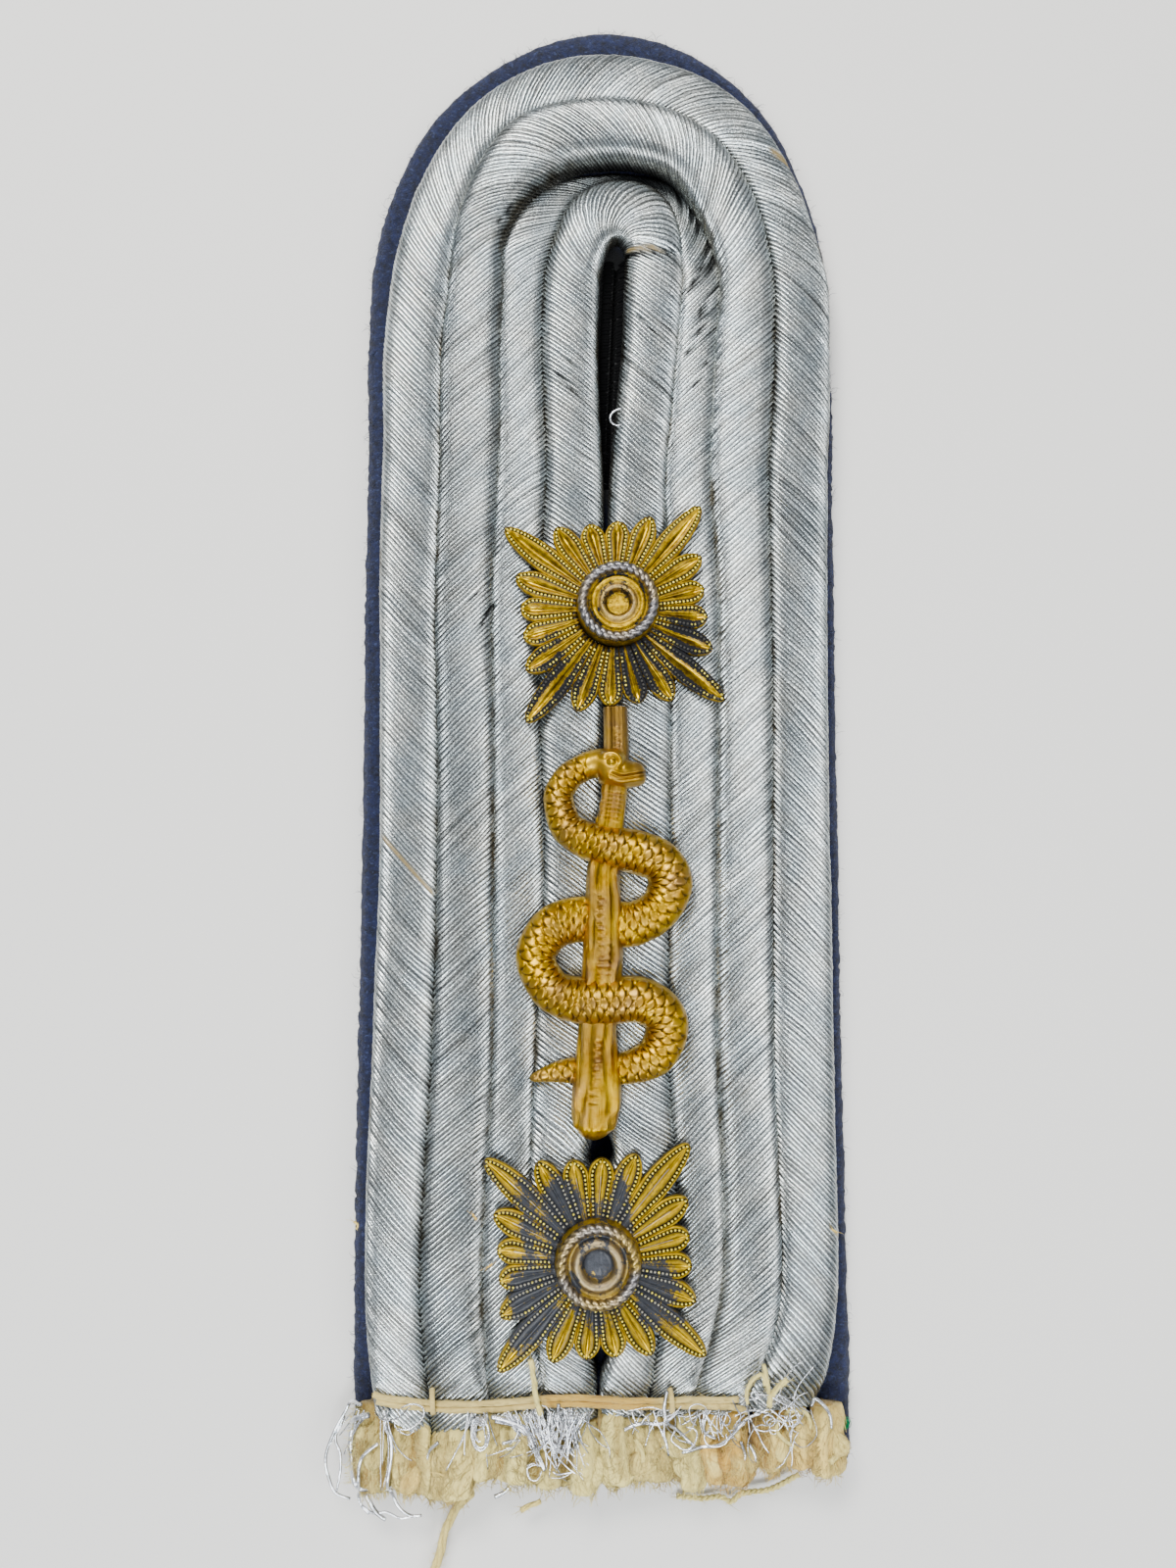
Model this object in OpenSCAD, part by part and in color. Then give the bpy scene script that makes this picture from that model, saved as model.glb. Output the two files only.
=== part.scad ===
// Sewn-in shoulder board: a wool underlay, two flat double cords bent into nested U shapes,
// two star pips and a serpent staff between them. Lengths are in millimetres.
// The board lies on its back: +X to its right, +Y to its round end, +Z up.

/* [Underlay] */
// Thickness of the wool cloth
wool_thick = 1.5; // [1.2:0.1:2.2]
// How far the cut end of the wool lies below the middle of the board
wool_end = 66; // [64:0.5:67]
// Width of the wool at its cut end
wool_end_w = 43.6; // [42:0.2:43.6]
// Length of the buttonhole cut in the wool
buttonhole_len = 22; // [18:1:23]
// Width of the buttonhole cut in the wool
buttonhole_w = 0.5; // [0.3:0.1:0.8]

/* [Braids] */
// Height of all the braid's ridges, as a share of their measured height
ridge_share = 1; // [0.85:0.05:1.1]
// Height of the grooves beside a ridge, as a share of that ridge's height
groove_share = 0.48; // [0.35:0.01:0.6]
// How far a cord's foot is tucked in under its side
foot_tuck = 0.5; // [0.2:0.1:0.7]
// Gap between the two legs of the inner braid, where the prongs go through
centre_gap = 0.46; // [0.44:0.02:0.6]

/* [Pips] */
// Half of the star pip's diagonal, from its centre to a corner petal's tip
pip_corner = 12.7; // [12:0.1:13]
// Height of the pip's rope ring above its back
pip_height = 3.3; // [2.2:0.1:3.6]
// Thickness of the pip's sheet at the rim
pip_rim = 0.4; // [0.3:0.05:0.6]

/* [Serpent staff] */
// Height of the snake's body above the emblem's back, as a share of its width
snake_relief = 0.62; // [0.5:0.02:0.8]
// Height of the staff above the emblem's back, as a share of its width
staff_relief = 0.55; // [0.45:0.05:0.7]

/* [Fastening] */
// Thickness of a bent prong
prong_thick = 0.3; // [0.2:0.05:0.3]
// Width of a bent prong
prong_wide = 1.4; // [1:0.1:1.8]
// Length of a prong's bent foot
prong_foot = 2.6; // [2:0.1:3]

/* [Frayed end] */
// Length of the longest cotton tuft
tuft_len = 7.4; // [6:0.1:7.4]
// Height of the cotton tufts
tuft_height = 3.7; // [3:0.1:4.2]

/* [Hidden] */

// Gap between pieces that lie on or beside each other
seat_gap = 0.06;
braid_floor = wool_thick + seat_gap;
ornament_floor = braid_floor + 3.7 * ridge_share + seat_gap;

// Cross-sections of the board, one row each, from the lower left, round the buttonhole's head, to the
// lower right. Ridges 4 and 3 are the inner braid and ridges 2 and 1 the outer one.
// Columns: x and y of the inner edge, direction outward, widths of ridges 4, 3, 2 and 1, width of the
// bare wool beyond, and heights of ridges 4, 3, 2 and 1.
SECTIONS = [
  [-0.4, -61.0, 180, 4.8, 4.9, 5.1, 5.0, 1.6, 2.7, 2.6, 2.6, 2.4],
  [-0.4, -58.0, 180, 5.0, 4.9, 5.2, 5.0, 1.4, 3.2, 3.1, 3.2, 3.0],
  [-0.3, -54.0, 180, 5.8, 4.4, 5.4, 5.0, 1.0, 3.6, 3.4, 3.7, 3.5],
  [-0.3, -49.0, 180, 6.2, 4.2, 5.4, 5.0, 0.8, 3.7, 3.5, 3.8, 3.6],
  [-0.2, -40.0, 180, 6.2, 4.0, 5.4, 5.3, 0.8, 3.7, 3.5, 3.8, 3.6],
  [ 0.0, -30.0, 180, 6.1, 3.8, 5.4, 5.5, 1.1, 3.7, 3.5, 3.8, 3.6],
  [ 0.2, -15.0, 180, 5.5, 4.6, 5.1, 5.4, 1.4, 3.7, 3.5, 3.8, 3.6],
  [ 0.3,   0.0, 180, 6.0, 4.3, 5.1, 5.4, 1.3, 3.7, 3.5, 3.8, 3.6],
  [ 0.3,  12.0, 180, 6.1, 4.4, 5.2, 5.3, 1.2, 3.7, 3.5, 3.8, 3.6],
  [ 0.2,  22.0, 180, 5.4, 4.6, 5.3, 5.5, 1.2, 3.7, 3.5, 3.8, 3.6],
  [-0.1,  28.0, 180, 5.2, 4.3, 5.5, 5.5, 1.2, 3.7, 3.5, 3.8, 3.6],
  [-0.3,  35.0, 180, 5.3, 4.1, 5.3, 5.6, 1.3, 3.6, 3.4, 3.9, 3.6],
  [-0.2,  41.0, 180, 5.3, 4.0, 4.9, 5.7, 1.5, 3.5, 3.2, 4.0, 3.6],
  [ 0.0,  43.2, 168, 5.1, 4.6, 4.4, 5.3, 1.8, 3.4, 3.0, 4.2, 3.6],
  [ 0.5,  44.8, 150, 5.1, 4.2, 5.2, 4.6, 2.2, 3.4, 2.8, 4.5, 3.6],
  [ 0.9,  45.5, 128, 5.6, 2.8, 6.6, 4.1, 3.0, 3.3, 2.3, 4.8, 3.6],
  [ 1.3,  45.8, 104, 6.0, 1.6, 6.6, 4.6, 3.9, 3.2, 1.9, 4.9, 3.6],
  [ 1.6,  45.7,  80, 6.4, 1.2, 6.2, 4.6, 4.1, 3.2, 1.8, 4.9, 3.6],
  [ 1.9,  45.2,  55, 6.6, 1.6, 5.4, 4.8, 2.9, 3.2, 2.1, 4.8, 3.6],
  [ 2.0,  44.3,  30, 5.9, 2.4, 5.1, 4.7, 1.7, 3.3, 2.6, 4.4, 3.6],
  [ 2.0,  43.0,  12, 5.5, 3.3, 4.9, 4.8, 1.2, 3.4, 2.9, 4.1, 3.6],
  [ 1.9,  41.0,   0, 5.6, 3.7, 4.9, 5.3, 0.6, 3.5, 3.2, 3.9, 3.6],
  [ 1.7,  35.0,   0, 5.3, 3.7, 5.4, 5.3, 0.5, 3.6, 3.4, 3.8, 3.6],
  [ 1.0,  28.0,   0, 5.3, 4.0, 5.5, 5.5, 0.6, 3.7, 3.5, 3.8, 3.6],
  [ 0.5,  22.0,   0, 5.3, 4.3, 5.3, 5.6, 0.7, 3.7, 3.5, 3.8, 3.6],
  [ 0.3,  12.0,   0, 5.8, 4.6, 4.8, 5.3, 0.9, 3.7, 3.5, 3.8, 3.6],
  [ 0.3,   0.0,   0, 5.9, 4.4, 4.9, 5.2, 1.0, 3.7, 3.5, 3.8, 3.6],
  [ 0.2, -15.0,   0, 5.8, 4.3, 5.0, 5.4, 1.0, 3.7, 3.5, 3.8, 3.6],
  [ 0.0, -30.0,   0, 5.8, 4.4, 5.0, 5.5, 1.0, 3.7, 3.5, 3.8, 3.6],
  [-0.2, -40.0,   0, 6.6, 4.2, 4.9, 5.3, 1.0, 3.7, 3.5, 3.8, 3.6],
  [-0.3, -49.0,   0, 6.7, 4.2, 5.1, 5.1, 1.0, 3.7, 3.5, 3.8, 3.6],
  [-0.3, -54.0,   0, 5.2, 4.7, 5.3, 5.5, 1.5, 3.6, 3.4, 3.7, 3.5],
  [-0.4, -58.0,   0, 4.8, 4.0, 5.0, 6.3, 2.2, 3.2, 3.1, 3.2, 3.0],
  [-0.4, -61.0,   0, 4.4, 3.6, 4.8, 6.2, 3.2, 2.7, 2.6, 2.6, 2.4],
];
X = 0;
Y = 1;
TURN = 2;
WIDTH = [0, 6, 5, 4, 3];
BARE = 7;
HEIGHT = [0, 11, 10, 9, 8];

// Snake's centre line, from the snout to the tail. Columns: x, y, width, and how far the body is
// raised where it crosses over the staff.
SNAKE = [
  [ 3.1,  -5.0, 1.6, 0.5], [ 2.4,  -5.1, 2.5, 0.6], [ 1.6,  -5.0, 2.9, 0.7], [ 0.7,  -4.4, 3.6, 0.8],
  [-0.5,  -4.1, 2.7, 0.5], [-1.9,  -4.5, 2.5, 0.2], [-3.3,  -5.5, 2.6, 0.0], [-4.0,  -7.2, 2.7, 0.0],
  [-3.3,  -9.7, 3.0, 0.1], [-1.6, -10.9, 3.4, 0.3], [ 0.3, -11.5, 3.7, 0.5], [ 3.2, -12.1, 4.0, 0.2],
  [ 5.2, -13.0, 3.9, 0.0], [ 6.0, -14.8, 4.0, 0.0], [ 5.2, -16.9, 3.8, 0.0], [ 3.6, -18.1, 3.9, 0.0],
  [ 1.8, -18.5, 4.1, 0.0], [-1.8, -18.0, 4.1, 0.0], [-4.5, -18.8, 4.0, 0.0], [-6.0, -21.2, 3.6, 0.0],
  [-5.0, -23.8, 3.7, 0.1], [-3.2, -24.9, 4.0, 0.3], [-0.6, -25.2, 4.3, 0.5], [ 3.2, -25.1, 4.1, 0.2],
  [ 5.2, -26.3, 3.9, 0.0], [ 5.6, -27.9, 3.8, 0.0], [ 4.5, -30.1, 3.5, 0.0], [ 1.5, -31.2, 2.8, 0.0],
  [-2.6, -31.3, 2.3, 0.0], [-4.9, -31.6, 1.5, 0.0], [-6.6, -32.1, 0.5, 0.0],
];
// Staff, from its top to its foot. Columns: x, y, width.
STAFF = [
  [1.2, -0.1, 2.4], [1.2, -3.0, 2.3], [0.9, -7.3, 2.5], [0.1, -13.0, 3.0], [0.0, -17.0, 3.2],
  [-0.1, -22.0, 3.5], [-0.5, -27.3, 3.3], [-0.6, -30.0, 3.7], [-0.6, -32.6, 4.4], [-0.7, -34.6, 4.3],
  [-0.9, -36.2, 2.6],
];

// Petals of a pip repeat every quarter turn. Tip and valley distances are shares of the corner's.
PETALS = 20;
PETAL_TIP = [1, 0.75, 0.67, 0.67, 0.75];
PETAL_VALLEY = [0.6, 0.56, 0.56, 0.56, 0.6];
// The pip's raised centre. Columns: radius, height as a share of the rope ring's height.
BOSS = [[1.2, 0.6], [1.5, 0.85], [2.1, 0.83], [2.6, 0.7], [2.8, 0.82], [3.2, 1], [3.6, 0.8], [3.8, 0.42]];
UPPER_PIP = [1, 9.6];
UPPER_PIP_TURN = 6.4;
LOWER_PIP = [-0.8, -47.25];
LOWER_PIP_TURN = 4.2;
// Where prongs go down between the legs of the inner braid: x and y of each
UPPER_PIP_PRONGS = [[0.3, 12.6], [0.3, 7]];
LOWER_PIP_PRONGS = [[-0.3, -44.8], [-0.3, -50]];
STAFF_PRONGS = [[0.2, -14], [-0.1, -34]];

// Cotton cores of the cords, cut at the lower end. Columns: middle, width, length as a share of the
// longest.
TUFTS = [
  [-20.1, 3.4, 0.92], [-16.9, 3.7, 0.96], [-13.4, 3.9, 1], [-8.7, 5.2, 0.81], [-4.5, 3.5, 0.84],
  [-1.7, 2.4, 0.88], [1.1, 3.3, 0.84], [4.7, 3.8, 0.76], [7.4, 2, 0.91], [10.6, 4.6, 0.78],
  [15.6, 5.4, 0.66], [19.3, 2.5, 0.74],
];
TUFT_START = -61.1;
// Neighbouring tufts are pressed together by this share of their width
tuft_overlap = 1.12;

// Steps between two rows of the section table
STEPS = 2;

function blend(a, b, c, d, t) =
  0.5 * (2 * b + (c - a) * t + (2 * a - 5 * b + 4 * c - d) * t * t + (3 * (b - c) + d - a) * t * t * t);
function row(table, i) = table[max(0, min(len(table) - 1, i))];
function smooth(table, steps) = concat(
  [for (i = [0 : len(table) - 2]) for (k = [0 : steps - 1])
    blend(row(table, i - 1), row(table, i), row(table, i + 1), row(table, i + 2), k / steps)],
  [table[len(table) - 1]]);
function along(s, u) = [s[X] + u * cos(s[TURN]), s[Y] + u * sin(s[TURN])];
function ridge_end(s, ridge) = ridge > 4 ? 0 : s[WIDTH[ridge]] + ridge_end(s, ridge + 1);

// Rounded top of one ridge, from start, in the plane of its section
function dome(start, wide, high, floor) =
  [for (t = [30 : 30 : 150]) [start + wide / 2 * (1 - cos(t)), floor + (high - floor) * pow(sin(t), 0.7)]];
// Outline of a flat double cord whose ridges are a and b wide and ha and hb high, from start
function double_cord(start, a, b, ha, hb) =
  let (groove = groove_share * min(ha, hb))
  concat([[start + foot_tuck, 0], [start, groove_share * ha]],
         dome(start, a, ha, groove_share * ha),
         [[start + a, groove]],
         dome(start + a, b, hb, groove_share * hb),
         [[start + a + b, groove_share * hb], [start + a + b - foot_tuck, 0]]);
function section_ring(s, start, inner, outer, gap_in, gap_out) =
  [for (p = double_cord(start + gap_in, s[WIDTH[inner]] - gap_in, s[WIDTH[outer]] - gap_out,
                        ridge_share * s[HEIGHT[inner]], ridge_share * s[HEIGHT[outer]]))
    [along(s, p[0])[0], along(s, p[0])[1], braid_floor + p[1]]];

// Closed skin over rings of equal length, with flat ends
module skin(rings) {
  n = len(rings[0]);
  last = len(rings) - 1;
  polyhedron(
    points = [for (r = rings) for (p = r) p],
    faces = concat(
      [for (j = [0 : last - 1]) for (i = [0 : n - 1])
        [j * n + i, j * n + (i + 1) % n, (j + 1) * n + (i + 1) % n]],
      [for (j = [0 : last - 1]) for (i = [0 : n - 1])
        [j * n + i, (j + 1) * n + (i + 1) % n, (j + 1) * n + i]],
      [[for (i = [n - 1 : -1 : 0]) i]],
      [[for (i = [0 : n - 1]) last * n + i]]),
    convexity = 6);
}

module outer_braid() {
  color("lightgray")
    skin([for (s = smooth(SECTIONS, STEPS)) section_ring(s, ridge_end(s, 3), 2, 1, seat_gap, 0)]);
}

module inner_braid() {
  color("silver")
    skin([for (s = smooth(SECTIONS, STEPS)) section_ring(s, 0, 4, 3, centre_gap / 2, seat_gap / 2)]);
}

module prong_slots(places) {
  for (p = places) {
    translate([p[0], p[1], wool_thick / 2])
      cube([prong_thick + 4 * seat_gap, prong_wide + 4 * seat_gap, 2 * wool_thick], center = true);
    translate([p[0] + prong_foot / 2, p[1], 0])
      cube([prong_foot + 8 * seat_gap, prong_wide + 4 * seat_gap, 2 * prong_thick + 4 * seat_gap],
           center = true);
  }
}

module prongs(places, top) {
  for (p = places) {
    translate([p[0] - prong_thick / 2, p[1] - prong_wide / 2, seat_gap])
      cube([prong_thick, prong_wide, top - seat_gap]);
    translate([p[0] - prong_thick / 2, p[1] - prong_wide / 2, seat_gap])
      cube([prong_foot, prong_wide, prong_thick]);
  }
}

module wool_underlay() {
  edge = [for (s = smooth(SECTIONS, STEPS)) along(s, ridge_end(s, 1) + s[BARE])];
  color("midnightblue")
    difference() {
      linear_extrude(wool_thick)
        polygon(concat([[-wool_end_w / 2, -wool_end]], edge, [[wool_end_w / 2, -wool_end]]));
      translate([0.9, 44.6 - buttonhole_len / 2, wool_thick / 2])
        rotate(-2.5)
          cube([buttonhole_w, buttonhole_len, 2 * wool_thick], center = true);
      prong_slots(concat(UPPER_PIP_PRONGS, LOWER_PIP_PRONGS, STAFF_PRONGS));
    }
}

// Share of a petal's length at one of its four spokes, and its height above the pip's back
function rim_radius(spoke) =
  let (petal = floor(spoke / 4) % 5, part = spoke % 4)
  pip_corner * (part == 0 ? PETAL_TIP[petal]
    : part == 2 ? (PETAL_VALLEY[petal] + PETAL_VALLEY[(petal + 1) % 5]) / 2
    : (part == 1 ? 0.86 * PETAL_TIP[petal] : 0.86 * PETAL_TIP[(petal + 1) % 5]));
function petal_height(spoke) = spoke % 4 == 0 ? 1.15 : spoke % 4 == 2 ? 0.6 : 1;

module star() {
  spokes = 4 * PETALS;
  turn = 360 / spokes;
  boss = [for (b = BOSS) [for (i = [0 : spokes - 1])
    [b[0] * cos(i * turn), b[0] * sin(i * turn), b[1] * pip_height]]];
  root = [for (i = [0 : spokes - 1])
    [4.1 * cos(i * turn), 4.1 * sin(i * turn), petal_height(i)]];
  middle = [for (i = [0 : spokes - 1]) let (r = 4.1 + 0.6 * (rim_radius(i) - 4.1))
    [r * cos(i * turn), r * sin(i * turn), 0.8 * petal_height(i)]];
  rim = [for (i = [0 : spokes - 1]) let (r = rim_radius(i))
    [r * cos(i * turn), r * sin(i * turn), pip_rim]];
  back = [for (p = rim) [p[0], p[1], 0]];
  back_middle = [for (p = root) [p[0], p[1], 0]];
  rotate(45)
    skin(concat(boss, [root, middle, rim, back, back_middle]));
}

module pip(place, turn, prong_places) {
  translate([place[0], place[1], ornament_floor])
    rotate(turn)
      star();
  prongs(prong_places, ornament_floor + 0.3);
}

module upper_pip() {
  color("gold")
    pip(UPPER_PIP, UPPER_PIP_TURN, UPPER_PIP_PRONGS);
}

module lower_pip() {
  color("darkgoldenrod")
    pip(LOWER_PIP, LOWER_PIP_TURN, LOWER_PIP_PRONGS);
}

// One bead of the relief: round seen from above, and cut flat by the emblem's back
module bead(x, y, wide, high, lift) {
  translate([x, y, ornament_floor + lift])
    scale([1, 1, high / (wide / 2)])
      sphere(d = wide, $fn = 10);
}

module chain(rows, relief, lift) {
  for (i = [0 : len(rows) - 2])
    hull()
      for (r = [rows[i], rows[i + 1]])
        bead(r[0], r[1], r[2], relief * r[2], lift * (len(r) > 3 ? r[3] : 0));
}

module serpent_staff() {
  color("goldenrod") {
    intersection() {
      union() {
        chain(SNAKE, snake_relief, 1);
        chain(STAFF, staff_relief, 0);
      }
      translate([-15, -50, ornament_floor])
        cube([30, 60, 10]);
    }
    prongs(STAFF_PRONGS, ornament_floor + 0.3);
  }
}

module cotton_ends() {
  color("wheat")
    for (t = TUFTS)
      hull() {
        translate([t[0], TUFT_START - 0.2, braid_floor + tuft_height * 0.5])
          scale([tuft_overlap * t[1] / 2, 0.2, tuft_height * 0.46])
            sphere(1, $fn = 10);
        translate([t[0], TUFT_START - tuft_len * t[2] + 1.8, braid_floor + tuft_height * 0.5])
          scale([tuft_overlap * t[1] / 2, 1.8, tuft_height * 0.48])
            sphere(1, $fn = 10);
      }
}

wool_underlay();
outer_braid();
inner_braid();
upper_pip();
lower_pip();
serpent_staff();
cotton_ends();
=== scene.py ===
"""Looks of a sewn-in shoulder board that lies face up: braids, pips, serpent staff, wool and frayed end.

Places and sizes are millimetres in the board's own frame, and become metres when a mesh is made.
"""
import itertools
import math

import bpy
import numpy as np
from mathutils.geometry import delaunay_2d_cdt
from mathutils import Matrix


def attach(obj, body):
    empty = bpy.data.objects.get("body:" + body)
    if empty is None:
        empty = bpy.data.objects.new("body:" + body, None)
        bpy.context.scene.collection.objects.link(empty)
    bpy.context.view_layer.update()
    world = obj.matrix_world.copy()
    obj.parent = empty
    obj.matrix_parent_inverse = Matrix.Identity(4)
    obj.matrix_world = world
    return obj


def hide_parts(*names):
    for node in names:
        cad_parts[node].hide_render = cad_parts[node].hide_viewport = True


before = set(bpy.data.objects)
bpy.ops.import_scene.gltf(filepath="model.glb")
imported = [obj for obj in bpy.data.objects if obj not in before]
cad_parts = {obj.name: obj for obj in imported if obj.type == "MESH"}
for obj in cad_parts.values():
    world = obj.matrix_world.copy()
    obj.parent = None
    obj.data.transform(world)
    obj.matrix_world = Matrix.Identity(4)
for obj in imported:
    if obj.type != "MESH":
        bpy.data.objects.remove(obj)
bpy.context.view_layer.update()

MM = 0.001
# Points nearer than one part in this many of a millimetre count as one
WELD_GRID = 1e4
BODY = "root"

# Measures shared with the solids
WOOL_THICK = 1.5
BRAID_FLOOR = 1.56
ORNAMENT_FLOOR = 5.32
WOOL_END = 66.0
WOOL_END_WIDE = 43.6
SLIT_MIDDLE = (0.9, 33.6)
SLIT_LENGTH = 22.0
SLIT_HALF = 0.25
SLIT_TURN = math.radians(-2.5)

# Cross-sections of the board, from the lower left, round the buttonhole's head, to the lower right.
# Columns: x and y of the inner edge, direction outward, widths of ridges 4, 3, 2 and 1, width of the
# bare wool beyond, and heights of ridges 4, 3, 2 and 1.
SECTIONS = np.array([
    [-0.4, -61.0, 180, 4.8, 4.9, 5.1, 5.0, 1.6, 2.7, 2.6, 3.0, 2.9],
    [-0.4, -58.0, 180, 5.0, 4.9, 5.2, 5.0, 1.4, 3.2, 3.1, 3.2, 3.0],
    [-0.3, -54.0, 180, 5.8, 4.4, 5.4, 5.0, 1.0, 3.6, 3.4, 3.7, 3.5],
    [-0.3, -49.0, 180, 6.2, 4.2, 5.4, 5.0, 0.8, 3.7, 3.5, 3.8, 3.6],
    [-0.2, -40.0, 180, 6.2, 4.0, 5.4, 5.3, 0.8, 3.7, 3.5, 3.8, 3.6],
    [0.0, -30.0, 180, 6.1, 3.8, 5.4, 5.5, 1.1, 3.7, 3.5, 3.8, 3.6],
    [0.2, -15.0, 180, 5.5, 4.6, 5.1, 5.4, 1.4, 3.7, 3.5, 3.8, 3.6],
    [0.3, 0.0, 180, 6.0, 4.3, 5.1, 5.4, 1.3, 3.7, 3.5, 3.8, 3.6],
    [0.3, 12.0, 180, 6.1, 4.4, 5.2, 5.3, 1.2, 3.7, 3.5, 3.8, 3.6],
    [0.2, 22.0, 180, 5.4, 4.6, 5.3, 5.5, 1.2, 3.7, 3.5, 3.8, 3.6],
    [-0.1, 28.0, 180, 5.2, 4.3, 5.5, 5.5, 1.2, 3.7, 3.5, 3.8, 3.6],
    [-0.3, 35.0, 180, 5.3, 4.1, 5.3, 5.6, 1.3, 3.6, 3.4, 3.9, 3.6],
    [-0.2, 41.0, 180, 5.3, 4.0, 4.9, 5.7, 1.5, 3.5, 3.2, 4.0, 3.6],
    [0.0, 43.2, 168, 5.1, 4.6, 4.4, 5.3, 1.8, 3.4, 3.0, 4.2, 3.6],
    [0.5, 44.8, 150, 5.1, 4.2, 5.1, 4.7, 2.2, 3.4, 2.4, 4.5, 3.6],
    [0.9, 45.5, 128, 5.6, 2.8, 6.3, 4.4, 3.0, 3.3, 1.6, 4.8, 3.6],
    [1.3, 45.8, 104, 5.8, 1.8, 6.0, 5.2, 3.9, 3.2, 1.1, 4.9, 3.6],
    [1.6, 45.7, 80, 6.1, 1.5, 5.6, 5.2, 4.1, 3.2, 1.0, 4.9, 3.6],
    [1.9, 45.2, 55, 6.4, 1.8, 5.2, 5.0, 2.9, 3.2, 1.4, 4.8, 3.6],
    [2.0, 44.3, 30, 5.9, 2.4, 5.1, 4.7, 1.7, 3.3, 2.2, 4.4, 3.6],
    [2.0, 43.0, 12, 5.5, 3.3, 4.9, 4.8, 1.2, 3.4, 2.9, 4.1, 3.6],
    [1.9, 41.0, 0, 5.6, 3.7, 4.9, 5.3, 0.6, 3.5, 3.2, 3.9, 3.6],
    [1.7, 35.0, 0, 5.3, 3.7, 5.4, 5.3, 0.5, 3.6, 3.4, 3.8, 3.6],
    [1.0, 28.0, 0, 5.3, 4.0, 5.5, 5.5, 0.6, 3.7, 3.5, 3.8, 3.6],
    [0.5, 22.0, 0, 5.3, 4.3, 5.3, 5.6, 0.7, 3.7, 3.5, 3.8, 3.6],
    [0.3, 12.0, 0, 5.8, 4.6, 4.8, 5.3, 0.9, 3.7, 3.5, 3.8, 3.6],
    [0.3, 0.0, 0, 5.9, 4.4, 4.9, 5.2, 1.0, 3.7, 3.5, 3.8, 3.6],
    [0.2, -15.0, 0, 5.8, 4.3, 5.0, 5.4, 1.0, 3.7, 3.5, 3.8, 3.6],
    [0.0, -30.0, 0, 5.8, 4.4, 5.0, 5.5, 1.0, 3.7, 3.5, 3.8, 3.6],
    [-0.2, -40.0, 0, 6.6, 4.2, 4.9, 5.3, 1.0, 3.7, 3.5, 3.8, 3.6],
    [-0.3, -49.0, 0, 6.7, 4.2, 5.1, 5.1, 1.0, 3.7, 3.5, 3.8, 3.6],
    [-0.3, -54.0, 0, 5.2, 4.7, 5.3, 5.5, 1.5, 3.6, 3.4, 3.7, 3.5],
    [-0.4, -58.0, 0, 4.8, 4.0, 5.0, 6.3, 2.2, 3.2, 3.1, 3.2, 3.0],
    [-0.4, -61.0, 0, 4.4, 3.6, 4.8, 6.2, 3.2, 2.7, 2.6, 2.6, 2.4],
])
# Numbers of those columns
X, Y, TURN, BARE = 0, 1, 2, 7
WIDTH = {4: 3, 3: 4, 2: 5, 1: 6}
FIRST_HEIGHT = 8
HEIGHT = {4: 8, 3: 9, 2: 10, 1: 11}
# Painted light and shade on each ridge's silver, for how the light falls on its threads: how bright it is
# painted on the right and on the left
PAINTED_SIDE_LIGHT = {1: (0.86, 1.0), 2: (0.94, 0.64), 3: (0.86, 0.78), 4: (0.88, 0.86)}
# How far each ridge is pressed into its neighbours or out of the braid, at its inner and its outer side
CROWDING = {1: (0.3, 0.0), 2: (0.3, 0.3), 3: (0.3, 0.3), 4: (0.07, 0.3)}
# Where the silver sleeve of each ridge ends: its inner and outer side on the left, then on the right
SLEEVE_ENDS = {
    1: (-63.7, -60.9, -61.0, -60.6), 2: (-61.3, -63.6, -60.9, -61.3),
    3: (-62.2, -61.0, -61.4, -61.0), 4: (-61.6, -62.6, -61.2, -61.5),
}
# Where the two legs of the inner braid part: y, half length, extra width
PARTINGS = [(-38.6, 1.7, 0.9), (-55.8, 1.2, 0.6)]
STITCH_Y = -59.7

# Section of a cord: its roundness, points above and below, the share of its height below its widest
# place, and the half width and height on which the threads' way round it is measured
ROUND = 3.5
TOP_POINTS = 15
UNDER_POINTS = 2
BODY_SHARE = 0.44
NOMINAL_HALF, NOMINAL_TOP = 2.6, 2.05
THREAD_PITCH = 0.33
# Rings of a thread, the first in the groove before it, as shares of the pitch
THREAD_RINGS = np.array([0, 0.24, 0.5, 0.76])

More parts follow.
